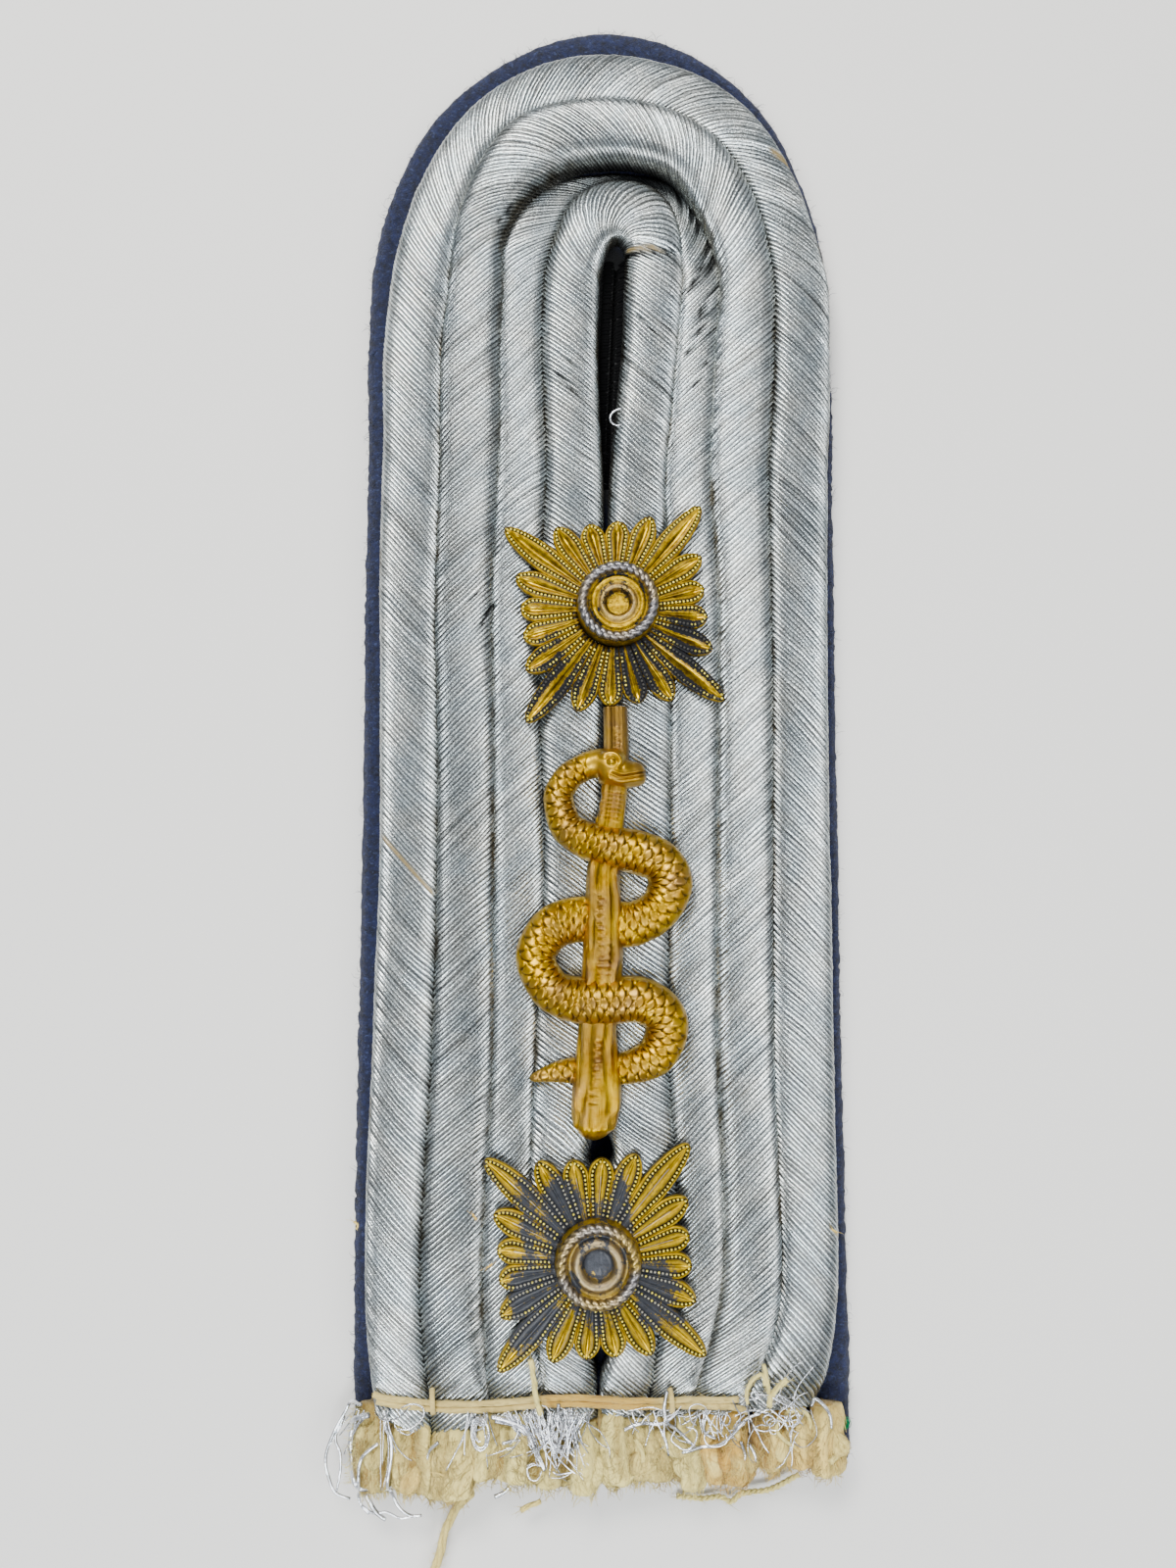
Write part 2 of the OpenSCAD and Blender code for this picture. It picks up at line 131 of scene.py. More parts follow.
# Snake's centre line, from the snout to the tail. Columns: x, y, width, height as a share of the
# width, and how far the body is raised where it crosses over the staff.
SNAKE = np.array([
    [3.85, -4.9, 1.3, 0.62, 0.4], [3.2, -5.0, 2.0, 0.62, 0.5], [2.4, -5.05, 2.5, 0.6, 0.6],
    [1.6, -4.95, 2.9, 0.58, 0.7], [0.7, -4.45, 3.6, 0.5, 0.8], [-0.5, -4.1, 2.7, 0.6, 0.5],
    [-1.9, -4.5, 2.5, 0.62, 0.2], [-3.3, -5.5, 2.6, 0.62, 0.0], [-4.0, -7.2, 2.7, 0.62, 0.0],
    [-3.3, -9.7, 3.0, 0.62, 0.1],
    [-1.6, -10.9, 3.4, 0.62, 0.3], [0.3, -11.5, 3.7, 0.6, 0.5], [3.2, -12.1, 4.0, 0.6, 0.2],
    [5.2, -13.0, 3.9, 0.58, 0.0], [6.0, -14.8, 4.0, 0.56, 0.0], [5.2, -16.9, 3.8, 0.54, 0.0],
    [3.6, -18.1, 3.9, 0.48, 0.0], [1.8, -18.5, 4.1, 0.38, 0.0], [-1.8, -18.0, 4.1, 0.38, 0.0],
    [-4.5, -18.8, 4.0, 0.5, 0.0], [-6.0, -21.2, 3.6, 0.58, 0.0], [-5.0, -23.8, 3.7, 0.6, 0.1],
    [-3.2, -24.9, 4.0, 0.6, 0.3], [-0.6, -25.2, 4.3, 0.56, 0.5], [3.2, -25.1, 4.1, 0.58, 0.2],
    [5.2, -26.3, 3.9, 0.58, 0.0], [5.6, -27.9, 3.8, 0.58, 0.0], [4.5, -30.1, 3.5, 0.56, 0.0],
    [1.5, -31.2, 2.8, 0.5, 0.0], [-2.6, -31.3, 2.3, 0.55, 0.0], [-4.9, -31.6, 1.5, 0.6, 0.0],
    [-6.6, -32.1, 0.5, 0.6, 0.0],
])
# Staff, from its top to its foot. Columns: x, y, width, height as a share of the width.
STAFF = np.array([
    [1.15, 1.1, 2.2, 0.55], [1.2, -3.0, 2.3, 0.55], [0.9, -7.3, 2.5, 0.5], [0.1, -13.0, 3.0, 0.52],
    [0.0, -17.0, 3.2, 0.68], [-0.1, -22.0, 3.5, 0.62], [-0.5, -27.3, 3.3, 0.5], [-0.6, -30.0, 3.7, 0.56],
    [-0.6, -32.6, 4.4, 0.52], [-0.7, -34.6, 4.3, 0.5], [-0.85, -36.2, 3.6, 0.55],
    [-0.9, -37.4, 2.6, 0.6],
])

# Stretches of the staff that carry a row of knots. Columns: first and last distance, place across at
# each of them, and size.
KNOT_ROWS = [(1.9, 4.1, 0.0, 0.1, 0.16), (7.8, 10.3, 0.1, 0.1, 0.1), (16.6, 24.4, -0.3, -0.1, 0.24),
             (20.6, 24.2, 0.6, 0.7, 0.2), (29.4, 35.6, 0.3, -0.35, 0.28)]
# Eye of the snake: distance from the snout, and place across, where + is the side of the jaw
EYE = (3.45, -0.36)
SCALE_LONG, SCALE_WIDE = 0.98, 1.6

# Pips. PIP_CORNER is how far a corner petal reaches from the middle, and the tables hold the reach of each
# fifth petal's tip, and of the valley beside it, as shares of that.
PETALS = 20
PIP_CORNER = 12.7
PETAL_TIP = [1, 0.75, 0.67, 0.67, 0.75]
PETAL_VALLEY = [0.6, 0.58, 0.56, 0.56, 0.58]
# Columns: x, y and turn of the petals, then how far the raised centre lies off the petals' middle
UPPER_PIP = (1.0, 9.6, math.radians(6.4), 0.33, 0.6)
LOWER_PIP = (-0.8, -47.25, math.radians(4.2), 0.33, -0.1)
UPPER_PRONGS = [(0.3, 12.6), (0.3, 7.0)]
LOWER_PRONGS = [(-0.3, -44.8), (-0.3, -50.0)]
STAFF_PRONGS = [(0.2, -14.0), (-0.1, -34.0)]
ALL_PRONGS = UPPER_PRONGS + LOWER_PRONGS + STAFF_PRONGS
PRONG_THICK, PRONG_WIDE, PRONG_FOOT = 0.3, 1.4, 2.6
GILT_ROUGH = 0.3
PETAL_START = 3.3
BEAD_PITCH, BEAD_INSET = 0.35, 0.24
# Rope ring. Its lobes lean: their wave shifts by RING_SLANT radians for each radian round the ring's section.
RING_RADIUS, RING_HEIGHT, RING_THICK, RING_LOBES, RING_STEPS = 3.16, 2.78, 0.47, 29, 420
RING_SLANT = 2.4
# Raised centre outside and under the rope ring, as distance from the middle and height
BOSS_SKIRT = [[3.8, 1.0], [3.74, 1.62], [3.66, 1.85], [3.56, 2.2], [3.46, 2.55], [3.3, 2.7], [2.75, 2.66]]
# Painted shade in the hollows of the raised centre: distances from its middle, and how dark each is painted
BOSS_RECESS = ([0, 0.95, 1.08, 1.25, 1.62, 1.76, 1.9, 2.36, 2.5, 2.7, 3.3, 3.5, 3.8],
               [0.1, 0.2, 0.9, 0.0, 0.0, 0.7, 0.0, 0.1, 0.5, 0.6, 0.0, 0.0, 0.5])

# Cotton cores of the cords. Columns: middle, width, length as a share of the longest, how much they are
# stained golden brown, and where the cotton comes out from under the silver.
TUFTS = [
    (-20.1, 3.4, 0.92, 0.1, -60.5), (-16.9, 3.7, 0.96, 0.3, -61.9), (-13.4, 3.9, 1.0, 0.25, -62.3),
    (-8.7, 5.2, 0.81, 0.05, -60.8), (-4.5, 3.5, 0.84, 0.0, -62.6), (-1.7, 2.4, 0.88, 0.0, -61.8),
    (1.1, 3.3, 0.84, 0.05, -60.7), (4.7, 3.8, 0.76, 0.1, -60.9), (7.4, 2.0, 0.91, 0.0, -60.9),
    (10.6, 4.6, 0.78, 0.7, -60.9), (15.6, 5.4, 0.66, 0.6, -60.7), (19.3, 2.5, 0.74, 0.3, -60.5),
]
TUFT_START, TUFT_LENGTH, TUFT_HEIGHT = -61.1, 7.4, 3.7
STITCH_FLOOR = BRAID_FLOOR + 3.05
# A lobe of cotton is small below this length; the distances down it at which its height is given
SMALL_LOBE = 3.5
LOBE_DOWN = [0, 1.6, 4.0]
# Share of a lobe's length past which fibres hang free
LOBE_END = 0.96
# Fibres on a lobe, for each square millimetre of its length times its half width
FIBRE_DENSITY = 40
# Fine fibres at the left edge: ranges of x, y and height, and their number
LEFT_FLUFF = [(-21.9, -21.0), (-66.8, -60.8), (2.2, 4.4)]
LEFT_COUNT = 500
# The braids lie above this line, and the cotton below it
BRAID_EDGE = -59.9
FUZZ_COUNT = 2400
LINT_PLACE = (21.5, -62.8, 2.1)

# Silver wires sprung from the cut cords: a thickness, of which WIRE_RADIUS is the radius at the root, and x
# and y along each
WIRE_RADIUS = 1.1
WIRES = [
    (0.14, [(-21.0, -59.8), (-22.2, -60.3), (-22.9, -61.5), (-23.7, -63.0), (-24.3, -64.4), (-24.5, -65.6),
            (-24.3, -66.8), (-23.8, -68.0), (-23.1, -68.5), (-22.3, -68.8)]),
    (0.12, [(-22.9, -61.8), (-23.7, -63.6), (-23.2, -65.0), (-23.2, -66.5), (-23.5, -68.2)]),
    (0.24, [(-20.3, -60.7), (-21.6, -61.2), (-22.1, -62.4), (-22.3, -63.9), (-22.1, -65.5), (-21.4, -66.8),
            (-21.1, -67.9), (-20.6, -69.0), (-20.0, -69.9), (-19.1, -70.5)]),
    (0.14, [(-19.5, -63.0), (-20.6, -63.9), (-21.1, -64.9), (-21.2, -66.8), (-21.5, -68.2), (-21.4, -69.2),
            (-20.6, -70.1)]),
    (0.2, [(-21.2, -67.3), (-20.6, -67.4), (-19.7, -67.5), (-18.4, -67.6)]),
    (0.15, [(-19.1, -60.3), (-18.9, -61.2), (-19.0, -61.8), (-18.5, -62.8), (-18.4, -64.2), (-18.6, -65.6),
            (-18.8, -67.1), (-18.5, -68.6), (-17.9, -69.6), (-16.9, -70.2), (-16.0, -70.2)]),
    (0.1, [(-21.3, -69.3), (-20.2, -70.0), (-19.1, -69.9), (-18.0, -70.4), (-16.9, -70.3)]),
    (0.15, [(-14.3, -63.0), (-15.1, -63.9), (-15.3, -64.9), (-15.2, -65.6)]),
    (0.13, [(-11.5, -64.3), (-11.1, -65.3), (-10.6, -66.2), (-10.3, -67.1)]),
    (0.2, [(-9.7, -60.8), (-8.2, -61.2), (-7.1, -61.8), (-6.5, -62.7), (-5.9, -63.9), (-5.1, -65.3)]),
    (0.14, [(-9.4, -61.2), (-8.0, -61.5), (-7.0, -62.2), (-6.2, -63.4), (-5.6, -64.6)]),
    (0.14, [(-8.8, -63.0), (-7.5, -62.8), (-6.3, -63.3), (-5.6, -64.2), (-5.1, -65.3)]),
    (0.16, [(-6.8, -63.6), (-6.7, -65.0), (-6.4, -66.2)]),
    (0.16, [(-5.9, -67.6), (-4.4, -67.0), (-3.2, -67.0), (-2.5, -66.2)]),
    (0.15, [(-3.9, -59.7), (-4.1, -61.2), (-4.5, -61.8), (-3.8, -63.0)]),
    (0.13, [(-3.4, -62.7), (-2.9, -63.9), (-2.2, -64.3), (-1.6, -63.9)]),
    (0.18, [(-9.6, -68.6), (-8.8, -68.3), (-8.1, -67.6)]),
    (0.16, [(5.5, -58.6), (5.2, -60.2), (5.6, -61.5), (6.7, -62.3), (7.9, -63.3)]),
    (0.16, [(1.8, -62.0), (3.5, -61.5), (5.1, -61.4), (6.5, -60.6)]),
    (0.16, [(6.5, -63.9), (8.1, -63.6), (9.9, -63.2), (11.1, -62.3), (12.2, -61.3), (13.6, -60.8)]),
    (0.14, [(4.9, -61.8), (5.4, -62.9), (5.6, -64.1)]),
    (0.15, [(8.6, -61.3), (8.8, -62.3), (9.7, -62.7)]),
    (0.15, [(18.0, -59.9), (18.3, -59.3), (18.9, -59.7), (19.6, -60.8), (19.7, -61.8)]),
    (0.08, [(1.7, 29.0), (1.1, 28.8), (0.7, 28.3), (0.8, 27.7), (1.3, 27.4), (1.8, 27.5)]),
    (0.14, [(11.8, -62.9), (12.2, -64.1), (12.2, -64.6)]),
    (0.14, [(12.7, -63.4), (13.2, -64.6), (12.9, -65.9), (13.1, -67.1)]),
]
# Coil of wire at the left: its middle, and the sizes of its turns
COIL = (-10.75, -62.35)
COIL_SIZES = (0.6, 0.75, 0.88, 1.0, 1.12)
# Where the silver sleeves have come apart into wires. Columns: first and last x, top, number of wires, mean
# way they point and its spread (degrees from straight down, + to the right), and mean length.
SPRAYS = [
    (-9.1, -6.0, -60.6, 24, 32, 9, 4.6), (-7.0, -2.6, -60.5, 34, 16, 12, 4.4),
    (-4.8, -0.8, -60.5, 30, -13, 13, 4.2), (2.0, 8.4, -60.5, 14, 8, 34, 2.4),
    (7.5, 12.8, -60.5, 16, -12, 38, 2.3), (-19.3, -18.5, -60.6, 5, 4, 8, 4.6),
    (-21.6, -20.2, -60.3, 6, -28, 14, 4.4), (-12.4, -9.8, -60.7, 12, -6, 18, 3.4),
    (12.6, 17.0, -59.0, 10, 5, 60, 2.4),
]
# Tangles of loose wire. Columns: x and y of the middle, spread along x and y, and number of wires.
TANGLES = [
    (-4.6, -62.9, 1.3, 1.7, 4), (-3.6, -65.4, 1.4, 1.2, 4), (14.2, -60.6, 1.1, 1.3, 15),
    (16.6, -61.4, 1.0, 0.8, 7), (8.6, -61.8, 2.0, 0.6, 7), (-19.0, -61.4, 1.4, 0.5, 3),
]
# Places where the cord's tan core shows or a cream thread lies in the silver: both ends and half width
STAINS = [(-20.0, -10.6, -15.3, -15.7, 0.16), (16.2, 54.1, 17.9, 53.0, 0.3), (2.4, 44.7, 5.2, 44.9, 0.2)]
# Slots between parted threads, dented and painted dark for the shade in them: both ends and half width
SLOTS = [(14.6, 54.3, 16.5, 54.0, 0.12), (2.3, 44.2, 6.4, 44.5, 0.26), (-10.2, 10.5, -11.2, 8.4, 0.14),
         (-11.6, 11.6, -12.6, 9.6, 0.1), (8.1, 40.6, 9.3, 43.0, 0.18), (8.4, 36.4, 9.5, 39.4, 0.17),
         (7.6, 34.0, 9.3, 37.2, 0.13), (8.6, 31.4, 9.6, 33.6, 0.14), (-4.2, 32.4, -2.6, 30.6, 0.12),
         (-3.6, 34.0, -2.4, 32.9, 0.08), (3.4, 38.0, 5.4, 35.8, 0.08), (-9.8, 46.8, -8.4, 48.6, 0.1)]
# Loose cotton yarns: thickness, stain, and x and y along each
YARNS = [
    (0.26, 0.1, [(-12.0, -64.3), (-12.7, -65.2), (-13.1, -66.5), (-14.2, -67.7), (-15.4, -68.6),
                 (-16.6, -69.8)]),
    (0.16, 0.3, [(-14.6, -65.5), (-13.0, -65.9), (-11.0, -65.8)]),
    (0.5, 0.0, [(-6.3, -55.9), (-6.1, -57.5), (-5.8, -59.2), (-5.4, -60.7)]),
    (0.4, 0.0, [(2.8, -63.0), (3.4, -64.1), (3.2, -65.2), (2.3, -66.2), (2.0, -66.7)]),
    (0.3, 0.0, [(15.2, -60.6), (15.0, -62.0), (16.0, -63.0), (17.3, -63.6)]),
    (0.3, 0.0, [(15.9, -60.3), (17.3, -60.4), (18.0, -61.5), (17.8, -62.9)]),
    (0.36, 0.0, [(13.9, -56.4), (14.3, -58.5), (14.4, -59.8)]),
    (0.34, 0.0, [(12.4, -59.7), (12.5, -58.3), (13.6, -57.2), (14.0, -58.2)]),
    (0.5, 0.0, [(15.9, -57.6), (14.6, -58.8), (14.3, -59.9)]),
    (0.6, 0.05, [(19.6, -64.6), (20.8, -64.3)]),
    (0.5, 0.15, [(-7.3, -70.0), (-6.4, -69.5), (-5.5, -69.2)]),
    (0.2, 0.4, [(-21.9, -44.3), (-21.5, -44.6), (-21.6, -45.0)]),
    (0.18, 0.5, [(20.0, -45.0), (20.5, -45.3)]),
    (0.18, 0.8, [(-10.2, -48.2), (-9.7, -47.9)]),
    (0.18, 0.8, [(-11.5, -43.7), (-11.1, -44.2)]),
]
# The two long yarns below the tufts, and the two threads of the back stitch, as x and y along each
TWISTED_YARN = [(6.7, -69.8), (8.9, -69.9), (10.6, -69.7), (11.5, -70.1), (12.6, -69.3), (14.8, -69.0),
                (16.2, -68.3), (17.5, -67.6)]
THICK_YARN = [(-11.6, -68.6), (-12.6, -69.6), (-13.5, -70.9), (-14.2, -72.8), (-14.6, -74.6), (-15.1, -76.0),
              (-15.3, -77.9)]
STITCH_ROWS = [
    [(-20.1, -59.2), (-18.6, -59.6), (-14.5, -60.05), (-9.6, -60.05), (-7.2, -59.75), (-4.5, -59.5),
     (0.0, -59.6), (4.2, -59.8), (8.5, -59.7), (11.8, -59.8)],
    [(-19.8, -59.8), (-18.2, -60.15), (-14.2, -60.55), (-9.6, -60.55), (-7.0, -60.25), (-4.4, -60.0),
     (0.0, -60.1), (4.2, -60.3), (8.5, -60.2), (11.6, -60.4), (12.6, -61.0)],
]

# Camera and lights. Columns: name, place, target, size, power and colour.
CAMERA_PLACE = (-1.3556, -14.40, 111.10)
CAMERA_TILT = math.radians(4.5967)
CAMERA_LENS, CAMERA_SENSOR = 18, 24
LIGHTS = [
    ("key", (-90, 230, 300), (0, 0, 0), (170, 110), 2.2, (1, 0.99, 0.97)),
    ("low", (-60, -200, 300), (0, -50, 0), (150, 90), 1.5, (0.94, 0.98, 1)),
    ("fill", (190, -60, 260), (0, 0, 0), (160, 160), 0.6, (1, 1, 1)),
]
FLOOR_REACH = 2.0


# Numbers

def curve(table, rows):
    """Rows of a table at fractional row numbers, on a smooth curve through all its rows."""
    last = len(table) - 1
    first = np.clip(np.floor(rows).astype(int), 0, last - 1)
    t = (rows - first)[:, None]
    a, b, c, d = (table[np.clip(first + k, 0, last)] for k in (-1, 0, 1, 2))
    return 0.5 * (2 * b + (c - a) * t + (2 * a - 5 * b + 4 * c - d) * t ** 2
                  + (3 * (b - c) + d - a) * t ** 3)


def noise(seed, *axes):
    """Smooth random values from -1 to 1, about one lump to a unit of each axis."""
    axes = np.broadcast_arrays(*[np.asarray(a, float) for a in axes])
    cells = [np.floor(a) for a in axes]
    parts = [a - c for a, c in zip(axes, cells)]
    parts = [p * p * (3 - 2 * p) for p in parts]
    total = np.zeros(axes[0].shape)
    for corner in itertools.product((0, 1), repeat=len(axes)):
        mixed = np.full(axes[0].shape, seed + 1, np.uint64) * np.uint64(0x9E3779B97F4A7C15)
        weight = np.ones(axes[0].shape)
        for cell, part, step in zip(cells, parts, corner):
            mixed = mixed ^ (cell + step).astype(np.int64).astype(np.uint64)
            mixed = mixed * np.uint64(0xFF51AFD7ED558CCD)
            mixed = mixed ^ (mixed >> np.uint64(29))
            weight = weight * (part if step else 1 - part)
        total += weight * (mixed.astype(float) / 2.0 ** 63 - 1)
    return total


def drift(seed, value):
    """Smooth random values along one axis."""
    return noise(seed, value, 0 * value)


def ramp(value, low, high):
    """0 below low, 1 above high, and smooth between."""
    t = np.clip((value - low) / (high - low), 0, 1)
    return t * t * (3 - 2 * t)


def bell(off, wide, power=2):
    """1 where off is 0, falling smoothly to 0 on both sides."""
    return np.exp(-(off / wide) ** power)


def unit(vectors):
    """The same vectors, with length 1."""
    return vectors / np.maximum(np.linalg.norm(vectors, axis=-1, keepdims=True), 1e-9)


def spin(angle):
    """Matrix that turns rows of x and y by an angle."""
    c, s = math.cos(angle), math.sin(angle)
    return np.array([[c, s], [-s, c]])


def lattice(x_range, y_range, step):
    """Points on a square lattice, as rows of x and y."""
    return np.stack(np.meshgrid(np.arange(*x_range, step), np.arange(*y_range, step)), -1).reshape(-1, 2)


def travelled(points):
    """Distance along a line of points, from its first."""
    steps = np.linalg.norm(np.diff(points, axis=0), axis=1)
    return np.concatenate([[0], np.cumsum(steps)])


def at_distances(line, walked, wanted):
    """Points of a line at the wanted distances, where walked holds the distance of each of its own."""
    return np.stack([np.interp(wanted, walked, column) for column in np.transpose(line)], -1)


# Meshes

class Shape:
    """Points and faces of one piece, with a few values at each point for its material."""

    def __init__(self, *values):
        self.points = []
        self.faces = []
        self.values = {name: [] for name in values}
        self.count = 0

    def add(self, points, faces, **values):
        """Adds a group of points, and faces that are numbered within it."""
        points = np.asarray(points, float).reshape(-1, 3)
        self.points.append(points)
        self.faces += [f + self.count for f in faces if len(f)]
        for name, stored in self.values.items():
            stored.append(np.broadcast_to(np.ravel(values.get(name, 0.0)), (len(points),)))
        self.count += len(points)

    def make(self, name, material, slot, replaces=None, weld=False):
        """Makes the piece; weld joins points that lie on each other and drops the faces this closes."""
        points = np.concatenate(self.points)
        values = {key: np.concatenate(v) for key, v in self.values.items()}
        faces = [face for group in self.faces for face in np.asarray(group).tolist()]
        if weld:
            _, first, back = np.unique(np.round(points * WELD_GRID).astype(np.int64), axis=0,
                                       return_index=True, return_inverse=True)
            back = back.ravel()
            points = points[first]
            values = {key: v[first] for key, v in values.items()}
            welded = []
            for face in faces:
                ring = [back[i] for i in face]
                ring = [i for k, i in enumerate(ring) if i != ring[k - 1]]
                if len(set(ring)) == len(ring) > 2:
                    welded.append(ring)
            faces = welded
        mesh = bpy.data.meshes.new(name)
        mesh.from_pydata((points * MM).tolist(), [], faces)
        mesh.shade_smooth()
        for key, v in values.items():
            mesh.attributes.new(key, "FLOAT", "POINT").data.foreach_set("value", v.astype(np.float32))
        mesh.materials.append(material)
        piece = bpy.data.objects.new(name, mesh)
        bpy.context.scene.collection.objects.link(piece)
        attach(piece, BODY)
        if replaces:
            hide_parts(replaces)
        return piece


def grid(rows, columns, wrap=False):
    """Faces of a grid of points that is numbered row by row."""
    i = np.arange(rows - 1)[:, None]
    j = np.arange(columns if wrap else columns - 1)[None, :]
    a = i * columns + j
    b = i * columns + (j + 1) % columns
    return np.stack([a, b, b + columns, a + columns], -1).reshape(-1, 4)


def tube(rows, columns):
    """Faces of a closed tube of rings: its wall and both ends."""
    ring = np.arange(columns)[None]
    return [grid(rows, columns, True), ring[:, ::-1], (rows - 1) * columns + ring]


def strands(shape, paths, radius, sides=3, **values):
    """Adds thin closed tubes along paths, an array of strand, step and place."""
    paths = np.asarray(paths, float)
    count, steps = paths.shape[:2]
    radius = np.broadcast_to(radius, (count, steps))
    along = unit(np.gradient(paths, axis=1))
    side = np.zeros_like(paths)
    helper = np.where(np.abs(along[:, 0, 2:3]) < 0.8, [[0.0, 0, 1]], [[1.0, 0, 0]])
    side[:, 0] = unit(np.cross(along[:, 0], helper))
    for k in range(1, steps):
        carried = side[:, k - 1] - along[:, k] * np.sum(side[:, k - 1] * along[:, k], -1, keepdims=True)
        side[:, k] = unit(carried)
    up = np.cross(along, side)
    turn = np.arange(sides) * 2 * math.pi / sides
    ring = side[:, :, None] * np.cos(turn)[:, None] + up[:, :, None] * np.sin(turn)[:, None]
    points = paths[:, :, None] + radius[:, :, None, None] * ring
    first = np.arange(count)[:, None, None] * steps * sides
    faces = [(first + part).reshape(-1, part.shape[1]) for part in tube(steps, sides)]
    spread = {k: np.repeat(np.broadcast_to(v, (count, steps)).ravel(), sides) for k, v in values.items()}
    shape.add(points, faces, **spread)


# Materials

def srgb(r, g, b):
    """A linear colour from three values of 0 to 255."""
    linear = [c / 255 / 12.92 if c <= 10 else ((c / 255 + 0.055) / 1.055) ** 2.4 for c in (r, g, b)]
    return (*linear, 1)


def times(colour, factor):
    """A lighter or darker colour."""
    return tuple(c * factor for c in colour[:3]) + (1,)


class Finish:
    """A material in the making. Most methods add a node and return the socket of its result."""

    def __init__(self, name, metallic, roughness):
        self.made = bpy.data.materials.new(name)
        self.made.use_nodes = True
        self.tree = self.made.node_tree
        self.shader = self.tree.nodes["Principled BSDF"]
        self.where = self.place(1, 1, 1)
        self.set("Metallic", metallic)
        self.set("Roughness", roughness)

    def feed(self, socket, value):
        """Gives a socket a fixed value, or links a result to it."""
        if isinstance(value, (int, float, tuple)):
            socket.default_value = value
        else:
            self.tree.links.new(value, socket)

    def set(self, name, value):
        """Sets an input of the shader."""
        self.feed(self.shader.inputs[name], value)

    def node(self, kind, **inputs):
        """A new node. An underscore stands for a space in an input's name."""
        made = self.tree.nodes.new("ShaderNode" + kind)
        for name, value in inputs.items():
            self.feed(made.inputs[name.replace("_", " ")], value)
        return made

    def value(self, name):
        """A value that the mesh holds at each point."""
        made = self.node("Attribute")
        made.attribute_name = name
        return made.outputs["Fac"]

    def place(self, *stretch):
        """Object coordinates in millimetres, stretched along each axis."""
        where = self.node("TexCoord").outputs["Object"]
        return self.node("Mapping", Vector=where, Scale=tuple(s / MM for s in stretch)).outputs["Vector"]

    def grain(self, scale, detail=3, roughness=0.6, where=None):
        """Fractal noise, about scale lumps to a millimetre."""
        made = self.node("TexNoise", Vector=self.where if where is None else where,
                         Scale=scale, Detail=detail, Roughness=roughness)
        return made.outputs["Fac"]

    def mapped(self, value, low, high, to_low=0.0, to_high=1.0):
        """A value carried over from one range to another, and kept within it."""
        made = self.node("MapRange", Value=value, From_Min=low, From_Max=high, To_Min=to_low, To_Max=to_high)
        return made.outputs["Result"]

    def calc(self, kind, a, b):
        """A sum or another calculation with two values."""
        made = self.node("Math")
        made.operation = kind
        for socket, value in zip(made.inputs, (a, b)):
            self.feed(socket, value)
        return made.outputs["Value"]

    def mixed(self, share, a, b, kind="MIX"):
        """Colour b over a by a share, where each is a colour or a socket."""
        made = self.node("Mix")
        made.data_type = "RGBA"
        made.blend_type = kind
        colours = [s for s in made.inputs if s.type == "RGBA"]
        for socket, value in zip([made.inputs["Factor"]] + colours, (share, a, b)):
            self.feed(socket, value)
        return next(s for s in made.outputs if s.type == "RGBA")

    def bumped(self, height, distance, strength):
        """Raises the surface by a height, at most by a distance in millimetres."""
        made = self.node("Bump", Height=height, Distance=distance * MM, Strength=strength)
        self.set("Normal", made.outputs["Normal"])


def silver_material():
    """Satin silver thread, dull where it is tarnished and matt where the core shows, darkened where shade is
    painted and flecked with painted glints.
    """
    f = Finish("silver_thread", 0.9, 0.3)
    clean = f.mixed(f.mapped(f.grain(0.3, 4), 0.35, 0.65), srgb(206, 218, 222), srgb(230, 234, 230))
    # painted glints: fine flecks make the silver lighter and darker
    clean = f.mixed(1.0, clean, f.mapped(f.grain(6.0, 2, 0.5), 0.36, 0.66, 0.75, 1.2), "MULTIPLY")
    dull = f.mixed(f.value("tarnish"), clean, srgb(116, 108, 90))
    shaded = f.mixed(f.value("shade"), srgb(12, 12, 11), dull)
    stain = f.value("stain")
    f.set("Base Color", f.mixed(stain, shaded, srgb(122, 106, 70)))
    f.set("Metallic", f.mapped(stain, 0, 1, 0.9, 0.1))
    f.set("Roughness", f.mapped(f.grain(4.0), 0.35, 0.65, 0.2, 0.3))
    f.bumped(f.grain(5.0), 0.03, 0.9)
    return f.made


def wire_material():
    """Bright silver wire, paler than the silver that lies in the cords, brighter and darker along its length
    where light and shade are painted.
    """
    f = Finish("silver_wire", 0.9, 0.24)
    tone = f.mixed(f.grain(3.0), srgb(222, 228, 238), srgb(255, 255, 255))
    f.set("Base Color", f.mixed(f.value("shade"), srgb(60, 60, 58), tone))
    f.bumped(f.grain(9.0), 0.03, 0.8)
    return f.made


def wool_material():
    """Navy cloth with paler specks of fibre, painted near black round the slit for the shade there."""
    f = Finish("navy_wool", 0.0, 0.95)
    base = f.mixed(f.mapped(f.grain(1.5, 7, 0.8), 0.38, 0.7), srgb(5, 8, 24), srgb(24, 35, 78))
    specks = f.mapped(f.grain(1.6, 6, 0.75, f.place(1.3, 1.9, 1.3)), 0.55, 0.74, 0.0, 0.9)
    pale = f.mixed(f.calc("MAXIMUM", f.value("light"), specks), base, srgb(66, 80, 122))
    f.set("Base Color", f.mixed(f.value("dark"), pale, srgb(2, 2, 3)))
    f.set("Sheen Weight", 0.05)
    f.set("Sheen Roughness", 0.5)
    f.bumped(f.grain(4.0, 6, 0.7), 0.3, 1.0)
    return f.made


